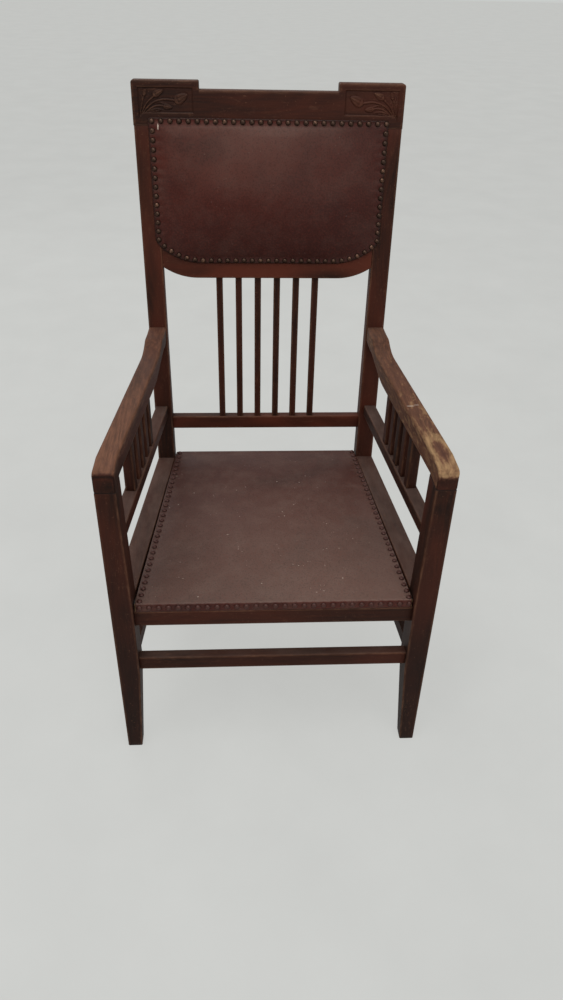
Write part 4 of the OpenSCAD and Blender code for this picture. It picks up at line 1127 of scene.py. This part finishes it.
def rounded_rings(outer, border, crown, shares, rise, lift):
    """Rings of a crowned sheet: its edge, a flat border and a crown that grows rounder inwards."""
    mid, half = (border.max(0) + border.min(0)) / 2, (border.max(0) - border.min(0)) / 2
    d = border - mid
    flat = np.linalg.norm(d / half, axis=1)[:, None]
    level = np.full((len(outer), 1), lift)
    rings = [np.concatenate([outer + (border - outer) * k, level], 1)
             for k in np.linspace(0, 1, 4, endpoint=False)]
    for s in shares:
        place = mid + s * d * (s + (1 - s) / flat)
        rings.append(np.concatenate([place, lift + crown * rise(*place.T)[:, None]], 1))
    return np.array(rings)


def ring_mesh(rings):
    """Points and faces of rings that close on one middle point."""
    count, n = rings.shape[:2]
    last = (count - 1) * n
    middle = [(last + i, last + (i + 1) % n, last + n) for i in range(n)]
    points = np.concatenate([rings.reshape(-1, 3), [rings[-1].mean(0)]])
    return points, tube_faces(count, n) + middle


def press_nails(points, nails, depth):
    """Each nail pulls the leather down round its head, and draws a short crease inwards."""
    nails = np.array(nails)
    middle = (nails.max(0) + nails.min(0)) / 2
    for q in nails:
        a, b = nails[np.argsort(np.linalg.norm(nails - q, axis=1))[1:3]]
        row = a - b if np.dot(a - q, b - q) < 0 else a - q
        inward = np.array([-row[1], row[0]]) / np.linalg.norm(row)
        inward *= 1 if inward @ (middle - q) > 0 else -1
        d = points[:, :2] - q
        far, aside = d @ inward, d @ np.array([-inward[1], inward[0]])
        crease = np.exp(-(aside / CREASE_W) ** 2 - (np.maximum(far, 0) / CREASE_L) ** 2)
        crease *= CREASE_SHARE * (far > CREASE_START)
        pull = np.exp(-(np.hypot(far, aside) / PULL_R) ** 2)
        points[:, 2] -= depth * np.maximum(pull, crease)
    return points


def halved(grid, axis, closed):
    """A grid of places with a smooth new place between each two along one axis."""
    grid = np.moveaxis(grid, axis, 0)
    ahead, behind, beyond = (np.roll(grid, k, 0) for k in (-1, 1, -2))
    between = (9 * (grid + ahead) - behind - beyond) / 16
    if not closed:
        between[0], between[-2] = (grid[0] + grid[1]) / 2, (grid[-2] + grid[-1]) / 2
    made = np.stack([grid, between], 1).reshape(-1, *grid.shape[1:])
    return np.moveaxis(made if closed else made[:-1], 0, axis)


def hand_wave(points, height, size, seed):
    """Broad, shallow unevenness of old stuffing, from a few fixed waves."""
    rng = np.random.default_rng(seed)
    for _ in range(9):
        way = rng.uniform(0, 2 * math.pi)
        pitch = size * rng.uniform(0.6, 1.6)
        phase = rng.uniform(0, 2 * math.pi)
        along = points[:, 0] * math.cos(way) + points[:, 1] * math.sin(way)
        points[:, 2] += (height * rng.uniform(0.3, 1) / 3
                         * np.sin(2 * math.pi * along / pitch + phase))
    return points


def grid_sheet(x0, x1, y0, y1, pitch):
    """Points and faces of a flat sheet in a rectangle."""
    nx, ny = max(2, int((x1 - x0) / pitch)), max(2, int((y1 - y0) / pitch))
    x, y = np.meshgrid(np.linspace(x0, x1, nx), np.linspace(y0, y1, ny), indexing="ij")
    return np.stack([x.ravel(), y.ravel(), np.zeros(x.size)], 1), net_faces(nx, ny)


def pressed(points, faces, held):
    """How far each point of a leather net moves when it is held at some points and pressed up."""
    scene = bpy.context.scene
    mesh = bpy.data.meshes.new("leather_before")
    mesh.from_pydata(points.tolist(), [], faces)
    made = bpy.data.objects.new("leather_before", mesh)
    scene.collection.objects.link(made)
    group = made.vertex_groups.new(name="held")
    group.add([int(i) for i in held], 1.0, "REPLACE")
    cloth = made.modifiers.new("tension", "CLOTH")
    for key, value in {
            "vertex_group_mass": "held", "quality": 6, "mass": 0.4, "tension_stiffness": 25,
            "compression_stiffness": 25, "shear_stiffness": 12, "bending_stiffness": 4,
            "use_pressure": True, "uniform_pressure_force": SETTLE_PRESSURE}.items():
        setattr(cloth.settings, key, value)
    cloth.settings.effector_weights.gravity = 0
    cloth.collision_settings.use_collision = False
    cloth.point_cache.frame_start, cloth.point_cache.frame_end = 1, SETTLE_FRAMES
    for number in range(1, SETTLE_FRAMES + 1):
        scene.frame_set(number)
    shape = made.evaluated_get(bpy.context.evaluated_depsgraph_get()).to_mesh()
    moved = np.array([v.co for v in shape.vertices]) - points
    scene.frame_set(1)
    bpy.data.objects.remove(made)
    return moved


def settled(rings, crown, rise, lift, cap):
    """The rings of a leather, moved as far as an even net moves under them when its stuffing
    presses it up, but no further than a cap."""
    low, high = rings[..., :2].min((0, 1)), rings[..., :2].max((0, 1))
    points, faces = grid_sheet(low[0], high[0], low[1], high[1], SETTLE_NET)
    height = rise(points[:, 0], points[:, 1])
    points[:, 2] = lift + crown * height
    moved = pressed(points, faces, np.nonzero(height < HELD_BELOW)[0])
    size = np.linalg.norm(moved, axis=1)[:, None]
    moved *= np.minimum(1, cap / np.maximum(size, 1e-9))
    count = np.array([len(np.unique(points[:, k])) for k in (0, 1)])
    moved = moved.reshape(*count, 3)
    place = (rings[..., :2] - low) / (high - low) * (count - 1)
    first = np.minimum(place.astype(int), count - 2)
    a, b = np.moveaxis(place - first, -1, 0)[..., None]
    i, j = first[..., 0], first[..., 1]
    return rings + ((1 - a) * (1 - b) * moved[i, j] + a * (1 - b) * moved[i + 1, j]
                    + (1 - a) * b * moved[i, j + 1] + a * b * moved[i + 1, j + 1])


def leather_rings(outer, border, crown, rise, lift, wave, nails, pull, cap):
    """The face of a nailed leather: crowned, settled, uneven as old stuffing is, and drawn in at
    its nails."""
    rings = rounded_rings(outer, border, crown, np.linspace(1, 0.03, 34) ** 0.9, rise, lift)
    rings = settled(rings, crown, rise, lift, cap)
    inner = rings[5:].reshape(-1, 3)
    share = np.minimum(1, np.repeat(np.arange(1, len(rings) - 4), rings.shape[1]) / 5)
    inner[:, 2] += (hand_wave(inner.copy(), *wave) - inner)[:, 2] * share
    rings[5:] = inner.reshape(rings[5:].shape)
    rings = halved(halved(rings, 1, True), 0, False)
    return press_nails(rings.reshape(-1, 3), nails, pull).reshape(rings.shape)


def nail_spots(node, lean=False, up=2, way=1):
    """Middles of a CAD node's nail heads, from the tops of their domes."""
    co = node_points(node, leaning() if lean else Matrix.Identity(4))
    level = co[:, up] * way
    a, b = [k for k in range(3) if k != up]
    found = []
    for p in co[level > level.max() - DOME_TOP]:
        if not any(math.hypot(p[a] - q[0], p[b] - q[1]) < NAIL_APART for q in found):
            found.append((p[a], p[b]))
    return found


def thicken(made, thickness):
    """Thickness of a sheet, added below its face and applied."""
    solid = made.modifiers.new("thickness", "SOLIDIFY")
    solid.thickness = thickness
    solid.offset = -1.0
    graph = bpy.context.evaluated_depsgraph_get()
    mesh = bpy.data.meshes.new_from_object(made.evaluated_get(graph))
    made.modifiers.clear()
    made.data = mesh


def panel_bounds(inset):
    """Half width, foot, top and arc of the back's leather, inside an even border."""
    low, high = leaning_box("back_leather")
    return high[0] - inset, low[2] + inset, high[2] - inset, PANEL_ARC - inset


def panel_outline(inset):
    """The leather of the back: square at the top, its lower corners an arc and a short turn."""
    half, z0, z1, r = panel_bounds(inset)
    a = math.asin((half - PANEL_FLAT) / r)
    arc = [(PANEL_FLAT + r * math.sin(a * i / 20), z0 + r - r * math.cos(a * i / 20))
           for i in range(21)]
    side = (half, z1)
    lower = arc[:-3] + turned(arc[-1], arc[-4], side, 0.012)
    return mirrored([(0, z0)] + lower + turned(side, arc[-1], (-half, z1), 0.006), 300)


def panel_fill(x, z):
    """Height of the back's stuffing, 0 to 1, inside a border that follows the panel's arcs."""
    half, z0, z1, r = panel_bounds(BORDER)
    below = r - np.hypot(np.maximum(np.abs(x) - PANEL_FLAT, 0), np.minimum(z - z0 - r, 0))
    return filled(half - np.abs(x), half) * filled(z1 - z, 0.6 * (z1 - z0)) * filled(below, r)


def make_back_panel():
    """The back's leather over its stuffing, and the plain cover outside."""
    s = sizes()
    top = -leaning_box("back_canvas")[0][1] + s.leather_t
    nails = nail_spots("back_nails", lean=True, up=1, way=-1)
    rings = leather_rings(panel_outline(0), panel_outline(BORDER), s.panel_crown * PANEL_SWELL,
                          panel_fill, top, (0.0009, 0.16, 3), nails, 0.0009, 0.004)
    points, faces = ring_mesh(rings)
    # the first rings of the border are darker
    dirt = np.zeros(rings.shape[:2])
    dirt[:len(BORDER_DARKENING)] = BORDER_DARKENING
    made = piece("back_leather_hide", points, faces, "frame", "back_hide",
                 ("back_leather", "back_stuffing", "back_canvas"), np.append(dirt.ravel(), 0.0),
                 leaning() @ FACE_UP)
    thicken(made, s.leather_t)
    low, high = leaning_box("back_outer_cover")
    spots, faces = grid_sheet(low[0], high[0], low[2], high[2], SHEET_NET)
    hollow = np.clip(hand_wave(spots.copy(), SLACK, 0.2, 5)[:, 2], 0, SLACK)
    points = np.stack([spots[:, 0], high[1] - hollow, spots[:, 1]], 1)
    cover = piece("back_outer_hide", points, [tuple(reversed(f)) for f in faces], "frame",
                  "back_hide", "back_outer_cover", where=leaning())
    thicken(cover, s.leather_t)


def seat_ends(node, inset=0.0):
    """Front and rear of a CAD node of the seat, from the front legs' face."""
    low, high = BOXES[node]
    return low[1] + HALF_DEPTH + inset, high[1] + HALF_DEPTH - inset


def seat_half(y):
    """Half width of the loose seat at a distance from its front."""
    front, back = BOXES["seat_leather"][1][0], BOXES["seat_bar_rear"][1][0]
    y0, y1 = seat_ends("seat_leather")[0], seat_ends("seat_bar_rear")[0]
    return front - (front - back) * (y - y0) / (y1 - y0)


def seat_outline(inset):
    """The leather of the seat from above, its corners turned and its front edge at the fold."""
    y0, y1 = seat_ends("seat_leather")[0] + max(FOLD, inset), seat_ends("seat_leather", inset)[1]
    a, b = seat_half(y0) - inset, seat_half(y1) - inset
    back = turned((b, y1), (a, y0), (-b, y1), 0.004)
    front = [(a, y0)] if inset == 0 else turned((a, y0), (-a, y0), (b, y1), 0.003)
    return mirrored([(0, y0)] + front + back, 320)


def seat_fill(x, y):
    """Height of the seat's stuffing, 0 to 1."""
    y0, y1 = seat_ends("seat_leather", BORDER)
    half, reach = seat_half(y) - BORDER, (y1 - y0) / 2
    return filled(half - np.abs(x), half) * filled(y - y0, reach) * filled(y1 - y, reach)


def make_seat():
    """The seat's leather over its stuffing, turned down over the front bar."""
    s = sizes()
    top, bottom = BOXES["seat_canvas"][1][2] + s.leather_t, BOXES["seat_leather"][0][2]
    outline = seat_outline(0)
    nails = [(x, y + HALF_DEPTH) for x, y in nail_spots("seat_nails")]
    rings = leather_rings(outline, seat_outline(BORDER), s.seat_crown * SEAT_SWELL, seat_fill,
                          top, (0.0012, 0.2, 11), nails, 0.0011, 0.0045)
    points, faces = ring_mesh(rings)
    points = [tuple(p) for p in points]
    front = outline[:, 1].min()
    last = [i for i in range(rings.shape[1]) if rings[0, i, 1] < front + 1e-6]
    last.sort(key=lambda i: points[i][0])
    row = [points[i][0] for i in last]
    drops = [(FOLD * math.sin(a), FOLD * (1 - math.cos(a)))
             for a in np.linspace(0.25, math.pi / 2, 5)]
    drops += [(FOLD, FOLD + (top - FOLD - bottom) * k / 6) for k in range(1, 7)]
    pins = [x for x, _ in nail_spots("seat_nails", up=1, way=-1)]
    for forward, down in drops:
        ring = [len(points) + k for k in range(len(row))]
        for x in row:
            waver = 0.0002 * math.sin(x * 90) + 0.00025 * math.sin(x * 37 + 1)
            # the leather swells between its nails along the front edge
            away = 1 - max(bell(x, pin, SWELL_W) for pin in pins)
            swell = SWELL * away * bell(down, 0.003, FOLD)
            points.append((x, front - forward - swell,
                           top - down + (waver if down > FOLD else swell * 0.5)))
        faces += [(ring[k], ring[k + 1], last[k + 1], last[k]) for k in range(len(row) - 1)]
        last = ring
    made = piece("seat_leather_hide", points, faces, "seat", "seat_hide",
                 ("seat_leather", "seat_stuffing"), where=placed())
    thicken(made, s.leather_t)


def strap_points(start, end, others, first, top):
    """Rows of points of a strap whose height rises and falls at each strap that it crosses."""
    start, end = np.array(start), np.array(end)
    size = np.linalg.norm(end - start)
    way = (end - start) / size
    side = np.array([-way[1], way[0]]) * STRAP_W / 2
    n, points = int(size / STRAP_STEP), []
    for i in range(n + 1):
        t = size * i / n
        held = min(1.0, min(t, size - t) / (STRAP_HOLD + 0.02))
        wave = sum((1 if (k + first) % 2 else -1) * bell(t, other, STRAP_BEND)
                   for k, other in enumerate(others))
        sag = STRAP_SAG * math.sin(math.pi * t / size)
        for a in (j / 3 - 1 for j in range(STRAP_N)):
            cup = STRAP_CUP * (1 - a * a) * held
            lift = (STRAP_WAVE * wave - STRAP_WAVE - sag - cup) * held
            points.append((*(start + way * t + side * a), top - STRAP_DROP + lift))
    return points, n + 1


def make_webbing():
    """Straps of jute from bar to bar, four one way and five the other, over and under by turns."""
    y0, y1 = seat_ends("seat_bar_front")[1], seat_ends("seat_bar_rear")[0]
    bar_w = y0 - seat_ends("seat_bar_front")[0]
    longs = [(i - 1.5) * 2 * (seat_half(y1) - bar_w) / 4 for i in range(4)]
    crosses = [y0 + (i + 0.5) * (y1 - y0) / 5 for i in range(5)]
    a, b = y0 - STRAP_HOLD, y1 + STRAP_HOLD
    straps = [((x, a), (x, b), [y - a for y in crosses], k) for k, x in enumerate(longs)]
    for k, y in enumerate(crosses):
        a = seat_half(y) - bar_w + STRAP_HOLD
        straps.append(((-a, y), (a, y), [x + a for x in longs], k + 1))
    points, faces = [], []
    for strap in straps:
        more, rows = strap_points(*strap, BOXES["seat_webbing"][1][2])
        faces += net_faces(rows, STRAP_N, len(points))
        points += more
    made = piece("seat_webbing_straps", points, faces, "seat", "jute", "seat_webbing",
                 where=placed())
    thicken(made, STRAP_T)


def make_seat_canvas():
    """Canvas nailed over the bars, under the stuffing."""
    y0, y1 = seat_ends("seat_canvas")
    n = 48
    x, y = np.meshgrid(np.linspace(-1, 1, n), np.linspace(y0, y1, n), indexing="ij")
    half = np.vectorize(seat_half)(y) - CANVAS_INSET
    level = np.full(x.size, BOXES["seat_canvas"][1][2] - 0.0001)
    made = piece("seat_canvas_cloth", np.stack([(x * half).ravel(), y.ravel(), level], 1),
                 net_faces(n, n), "seat", "canvas", "seat_canvas", where=placed())
    thicken(made, CANVAS_T)


def dome(spot, matrix, rng, points, faces, wear, rubbed):
    """One stamped nail head, a little out of true; a share of the heads is rubbed bright."""
    s = sizes()
    r, h = s.nail_d / 2 * rng.uniform(0.96, 1.03), s.nail_h * rng.uniform(0.88, 1.0)
    n, rings, base = NAIL_SIDES, len(NAIL_RINGS), len(points)
    lean_x, lean_y = rng.normal(0, 0.06, 2)
    bright = rng.uniform(0.05, 0.4) if rng.uniform() > rubbed else rng.uniform(0.7, 1.0)
    for share, rise in NAIL_RINGS:
        for i in range(n):
            a = 2 * math.pi * i / n
            x, y = r * share * math.cos(a), r * share * math.sin(a)
            z = h * rise + (x * lean_x + y * lean_y) * rise
            points.append(matrix @ Vector((spot[0] + x, spot[1] + y, z)))
            # the lowest rings take the rim's dirt and painted shade
            wear.append(rise * bright if rise > 0.3 else RIM_SHADE_AND_DIRT)
    points.append(matrix @ Vector((spot[0], spot[1], h)))
    wear.append(bright)
    faces += tube_faces(rings, n, base)
    top = base + rings * n
    faces += [(top - n + i, top - n + (i + 1) % n, top) for i in range(n)]
    faces.append(tuple(base + i for i in reversed(range(n))))


def make_nails():
    """Domed nails of the back, of the cover outside and of the seat, each on its own face."""
    rng = np.random.default_rng(7)
    leather = sizes().leather_t - NAIL_SUNK
    plain = Matrix.Identity(4)

    def raised(height):
        """A face at a height over its own frame."""
        return Matrix.Translation((0, 0, height))

    back = leaning() @ FACE_UP @ raised(leather - leaning_box("back_canvas")[0][1])
    cover = leaning() @ FACE_BACK @ raised(leaning_box("back_outer_cover")[1][1] - NAIL_SUNK)
    seat = raised(BOXES["seat_canvas"][1][2] + leather)
    front = Matrix.Translation((0, BOXES["seat_leather"][0][1] + NAIL_SUNK, 0)) @ FACE_UP
    for node, body, key, where, rubbed, rows in (
        ("back_nails", "frame", "nails", back, 0.2,
         [(plain, nail_spots("back_nails", lean=True, up=1, way=-1))]),
        ("outer_cover_nails", "frame", "nails", cover, 0.2,
         [(plain, [(x, -z) for x, z in nail_spots("outer_cover_nails", lean=True, up=1)])]),
        ("seat_nails", "seat", "seat_nails", plain, 0.05,
         [(seat, nail_spots("seat_nails")), (front, nail_spots("seat_nails", up=1, way=-1))]),
    ):
        points, faces, wear = [], [], []
        for matrix, spots in rows:
            for spot in spots:
                dome(spot, matrix, rng, points, faces, wear, rubbed)
        piece(node + "_heads", points, faces, body, key, node, wear, where)


def dress_inner_wood():
    """The bars of the loose seat and the bearers under it keep their CAD shape."""
    for name, made in NODES.items():
        if name.startswith(("seat_bar_", "seat_bearer_")):
            made.data.materials.clear()
            made.data.materials.append(material("inner"))


# Stage

FLOOR_HALF = 30.0
FLOOR_GLOW = 0.8  # share of the floor that the eye sees without the lamps' shadows
LOOKED_AT = (0.0, 0.0, 0.6)
LAMPS = (("overhead", (-0.5, -1.2, 3.4), 2.6, 62.0), ("front", (1.6, -3.2, 2.2), 2.0, 26.0),
         ("behind", (-1.4, 2.6, 2.6), 2.4, 24.0))
# the photograph's camera, fitted to the chair's own edges: yaw, pitch and roll in degrees, focal
# length and height of the picture in pixels, and its place from the front legs' face
CAMERA_TURN, CAMERA_FOCAL, PHOTO_H = (3.58, 35.0213, 1.4702), 790.3503, 1000
CAMERA_SPOT = (-0.0605, -1.0792, 1.3861)
SENSOR_H = 24.0


def seen_by_eye(tree):
    """1 for what the camera sees straight, in gloss or through glass, else 0."""
    path = add(tree, "ShaderNodeLightPath")
    gloss = sums(tree, "MAXIMUM", path.outputs["Is Glossy Ray"],
                 path.outputs["Is Transmission Ray"])
    return sums(tree, "MAXIMUM", path.outputs["Is Camera Ray"], gloss)


def pale_concrete():
    """Trowelled concrete, pale and matt, in faint clouds a foot wide."""
    made, tree, here = blank("pale_concrete")
    cloud = pattern(tree, here, 0.3, 6.0, 0.6)
    code = finishes().floor
    base = coats(tree, code, (span(tree, cloud, 0.3, 0.7, 0.0, 0.3), shade(code, 0.85)))
    lit = add(tree, "ShaderNodeBsdfPrincipled", {"Base Color": base, "Roughness": 0.8})
    shown = add(tree, "ShaderNodeEmission", {"Color": base, "Strength": 1.0})
    both = add(tree, "ShaderNodeMixShader", {0: times(tree, seen_by_eye(tree), FLOOR_GLOW),
                                             1: lit.outputs[0], 2: shown.outputs[0]})
    add(tree, "ShaderNodeOutputMaterial", {"Surface": both.outputs[0]})
    return made


def make_room(scene):
    """The floor, and a world that the eye sees brighter than it lights the chair."""
    w = FLOOR_HALF
    mesh = bpy.data.meshes.new("floor")
    mesh.from_pydata([(-w, -w, 0), (w, -w, 0), (w, w, 0), (-w, w, 0)], [], [(0, 1, 2, 3)])
    floor = bpy.data.objects.new("floor", mesh)
    scene.collection.objects.link(floor)
    mesh.materials.append(pale_concrete())
    world = bpy.data.worlds.new("room")
    world.use_nodes = True
    tree = world.node_tree
    tree.nodes.clear()
    dim = add(tree, "ShaderNodeBackground", {"Color": (0.96, 0.98, 1.0), "Strength": 0.4})
    wall = add(tree, "ShaderNodeBackground", {"Color": linear("#c9cbc9"), "Strength": 1.0})
    both = add(tree, "ShaderNodeMixShader", {0: seen_by_eye(tree), 1: dim.outputs[0],
                                             2: wall.outputs[0]})
    add(tree, "ShaderNodeOutputWorld", {"Surface": both.outputs[0]})
    scene.world = world


def make_lamps(scene):
    """Three square lamps, all turned to the middle of the chair."""
    for name, place, size, power in LAMPS:
        lamp = bpy.data.lights.new(name, "AREA")
        lamp.shape, lamp.size, lamp.energy = "SQUARE", size, power
        made = bpy.data.objects.new(name, lamp)
        scene.collection.objects.link(made)
        made.location = place
        way = Vector(LOOKED_AT) - Vector(place)
        made.rotation_euler = way.to_track_quat("-Z", "Y").to_euler()


def make_camera(scene):
    """The photograph's camera."""
    yaw, pitch, roll = map(math.radians, CAMERA_TURN)
    ahead = Vector((math.sin(yaw) * math.cos(pitch), math.cos(yaw) * math.cos(pitch),
                    -math.sin(pitch)))
    flat = Vector((math.cos(yaw), -math.sin(yaw), 0))
    rise = flat.cross(ahead)
    right = flat * math.cos(roll) + rise * math.sin(roll)
    upward = rise * math.cos(roll) - flat * math.sin(roll)
    camera = bpy.data.cameras.new("photo_camera")
    camera.sensor_fit = "VERTICAL"
    camera.sensor_height = SENSOR_H
    camera.lens = CAMERA_FOCAL * SENSOR_H / PHOTO_H
    view = bpy.data.objects.new("photo_camera", camera)
    scene.collection.objects.link(view)
    turn = Matrix((right, upward, -ahead)).transposed().to_4x4()
    view.matrix_world = placed() @ Matrix.Translation(CAMERA_SPOT) @ turn
    scene.camera = view


def make_stage():
    """Everything round the chair."""
    scene = bpy.context.scene
    make_room(scene)
    make_lamps(scene)
    make_camera(scene)
    scene.view_settings.view_transform = "Standard"


# Panel and operators


class CHAIR_OT_legs(bpy.types.Operator):
    """Front legs, tapered below the stretchers"""

    bl_idname = "chair.legs"
    bl_label = "Front legs"
    bl_options = {"REGISTER", "UNDO"}

    def execute(self, context):
        make_legs()
        return {"FINISHED"}


class CHAIR_OT_posts(bpy.types.Operator):
    """Rear posts, kicked back below the seat and leaning above it"""

    bl_idname = "chair.posts"
    bl_label = "Rear posts"
    bl_options = {"REGISTER", "UNDO"}

    def execute(self, context):
        make_posts()
        return {"FINISHED"}


class CHAIR_OT_rails(bpy.types.Operator):
    """Seat rails, arm rails, stretchers and the lower rail of the back"""

    bl_idname = "chair.rails"
    bl_label = "Rails and stretchers"
    bl_options = {"REGISTER", "UNDO"}

    def execute(self, context):
        make_rails()
        return {"FINISHED"}


class CHAIR_OT_slats(bpy.types.Operator):
    """Slats of the back and under the arms"""

    bl_idname = "chair.slats"
    bl_label = "Slats"
    bl_options = {"REGISTER", "UNDO"}

    def execute(self, context):
        make_slats()
        return {"FINISHED"}


class CHAIR_OT_arms(bpy.types.Operator):
    """Arms, swept up at the posts and worn by hands"""

    bl_idname = "chair.arms"
    bl_label = "Arms"
    bl_options = {"REGISTER", "UNDO"}

    def execute(self, context):
        make_arms()
        return {"FINISHED"}


class CHAIR_OT_middle_rail(bpy.types.Operator):
    """Middle rail of the back with its curved ends"""

    bl_idname = "chair.middle_rail"
    bl_label = "Middle rail"
    bl_options = {"REGISTER", "UNDO"}

    def execute(self, context):
        make_middle_rail()
        return {"FINISHED"}


class CHAIR_OT_crest(bpy.types.Operator):
    """Crest rail with buds carved in its raised ends"""

    bl_idname = "chair.crest"
    bl_label = "Crest rail"
    bl_options = {"REGISTER", "UNDO"}

    def execute(self, context):
        make_crest()
        return {"FINISHED"}


class CHAIR_OT_back_panel(bpy.types.Operator):
    """Leather of the back, its stuffing and the cover outside"""

    bl_idname = "chair.back_panel"
    bl_label = "Back panel"
    bl_options = {"REGISTER", "UNDO"}

    def execute(self, context):
        make_back_panel()
        return {"FINISHED"}


class CHAIR_OT_webbing(bpy.types.Operator):
    """Straps woven between the bars of the loose seat"""

    bl_idname = "chair.webbing"
    bl_label = "Webbing"
    bl_options = {"REGISTER", "UNDO"}

    def execute(self, context):
        make_webbing()
        return {"FINISHED"}


class CHAIR_OT_canvas(bpy.types.Operator):
    """Canvas over the webbing"""

    bl_idname = "chair.canvas"
    bl_label = "Seat canvas"
    bl_options = {"REGISTER", "UNDO"}

    def execute(self, context):
        make_seat_canvas()
        return {"FINISHED"}


class CHAIR_OT_seat(bpy.types.Operator):
    """Leather of the loose seat over its stuffing"""

    bl_idname = "chair.seat"
    bl_label = "Seat"
    bl_options = {"REGISTER", "UNDO"}

    def execute(self, context):
        make_seat()
        return {"FINISHED"}


class CHAIR_OT_nails(bpy.types.Operator):
    """Domed heads of the nails"""

    bl_idname = "chair.nails"
    bl_label = "Nails"
    bl_options = {"REGISTER", "UNDO"}

    def execute(self, context):
        make_nails()
        return {"FINISHED"}


class CHAIR_OT_inner_wood(bpy.types.Operator):
    """Bars of the loose seat and the bearers under it"""

    bl_idname = "chair.inner_wood"
    bl_label = "Inner wood"
    bl_options = {"REGISTER", "UNDO"}

    def execute(self, context):
        dress_inner_wood()
        return {"FINISHED"}


class CHAIR_OT_stage(bpy.types.Operator):
    """Floor, lights and camera"""

    bl_idname = "chair.stage"
    bl_label = "Stage"
    bl_options = {"REGISTER", "UNDO"}

    def execute(self, context):
        make_stage()
        return {"FINISHED"}


OPERATORS = [
    CHAIR_OT_legs, CHAIR_OT_posts, CHAIR_OT_rails, CHAIR_OT_slats, CHAIR_OT_arms,
    CHAIR_OT_middle_rail, CHAIR_OT_crest, CHAIR_OT_back_panel, CHAIR_OT_webbing,
    CHAIR_OT_canvas, CHAIR_OT_seat, CHAIR_OT_nails, CHAIR_OT_inner_wood, CHAIR_OT_stage,
]


class CHAIR_PT_panel(bpy.types.Panel):
    """Builds the chair piece by piece"""

    bl_label = "Friars chair"
    bl_idname = "CHAIR_PT_panel"
    bl_space_type = "VIEW_3D"
    bl_region_type = "UI"
    bl_category = "Chair"

    def draw(self, context):
        """Lists the operators, the sizes and the colours."""
        for made in OPERATORS:
            self.layout.operator(made.bl_idname)
        for group in (context.scene.chair_sizes, context.scene.chair_finishes):
            column = self.layout.column(align=True)
            for key in group.__annotations__:
                column.prop(group, key)


CLASSES = [ChairSizes, ChairFinishes, *OPERATORS, CHAIR_PT_panel]


def register():
    """Adds the classes, and the sizes and colours of each scene."""
    for made in CLASSES:
        bpy.utils.register_class(made)
    bpy.types.Scene.chair_sizes = PointerProperty(type=ChairSizes)
    bpy.types.Scene.chair_finishes = PointerProperty(type=ChairFinishes)


def unregister():
    """Takes away what register has added."""
    del bpy.types.Scene.chair_finishes
    del bpy.types.Scene.chair_sizes
    for made in reversed(CLASSES):
        bpy.utils.unregister_class(made)


def main():
    """Builds the chair in order."""
    register()
    for made in OPERATORS:
        getattr(bpy.ops.chair, made.bl_idname.split(".")[1])()


if __name__ == "__main__":
    main()
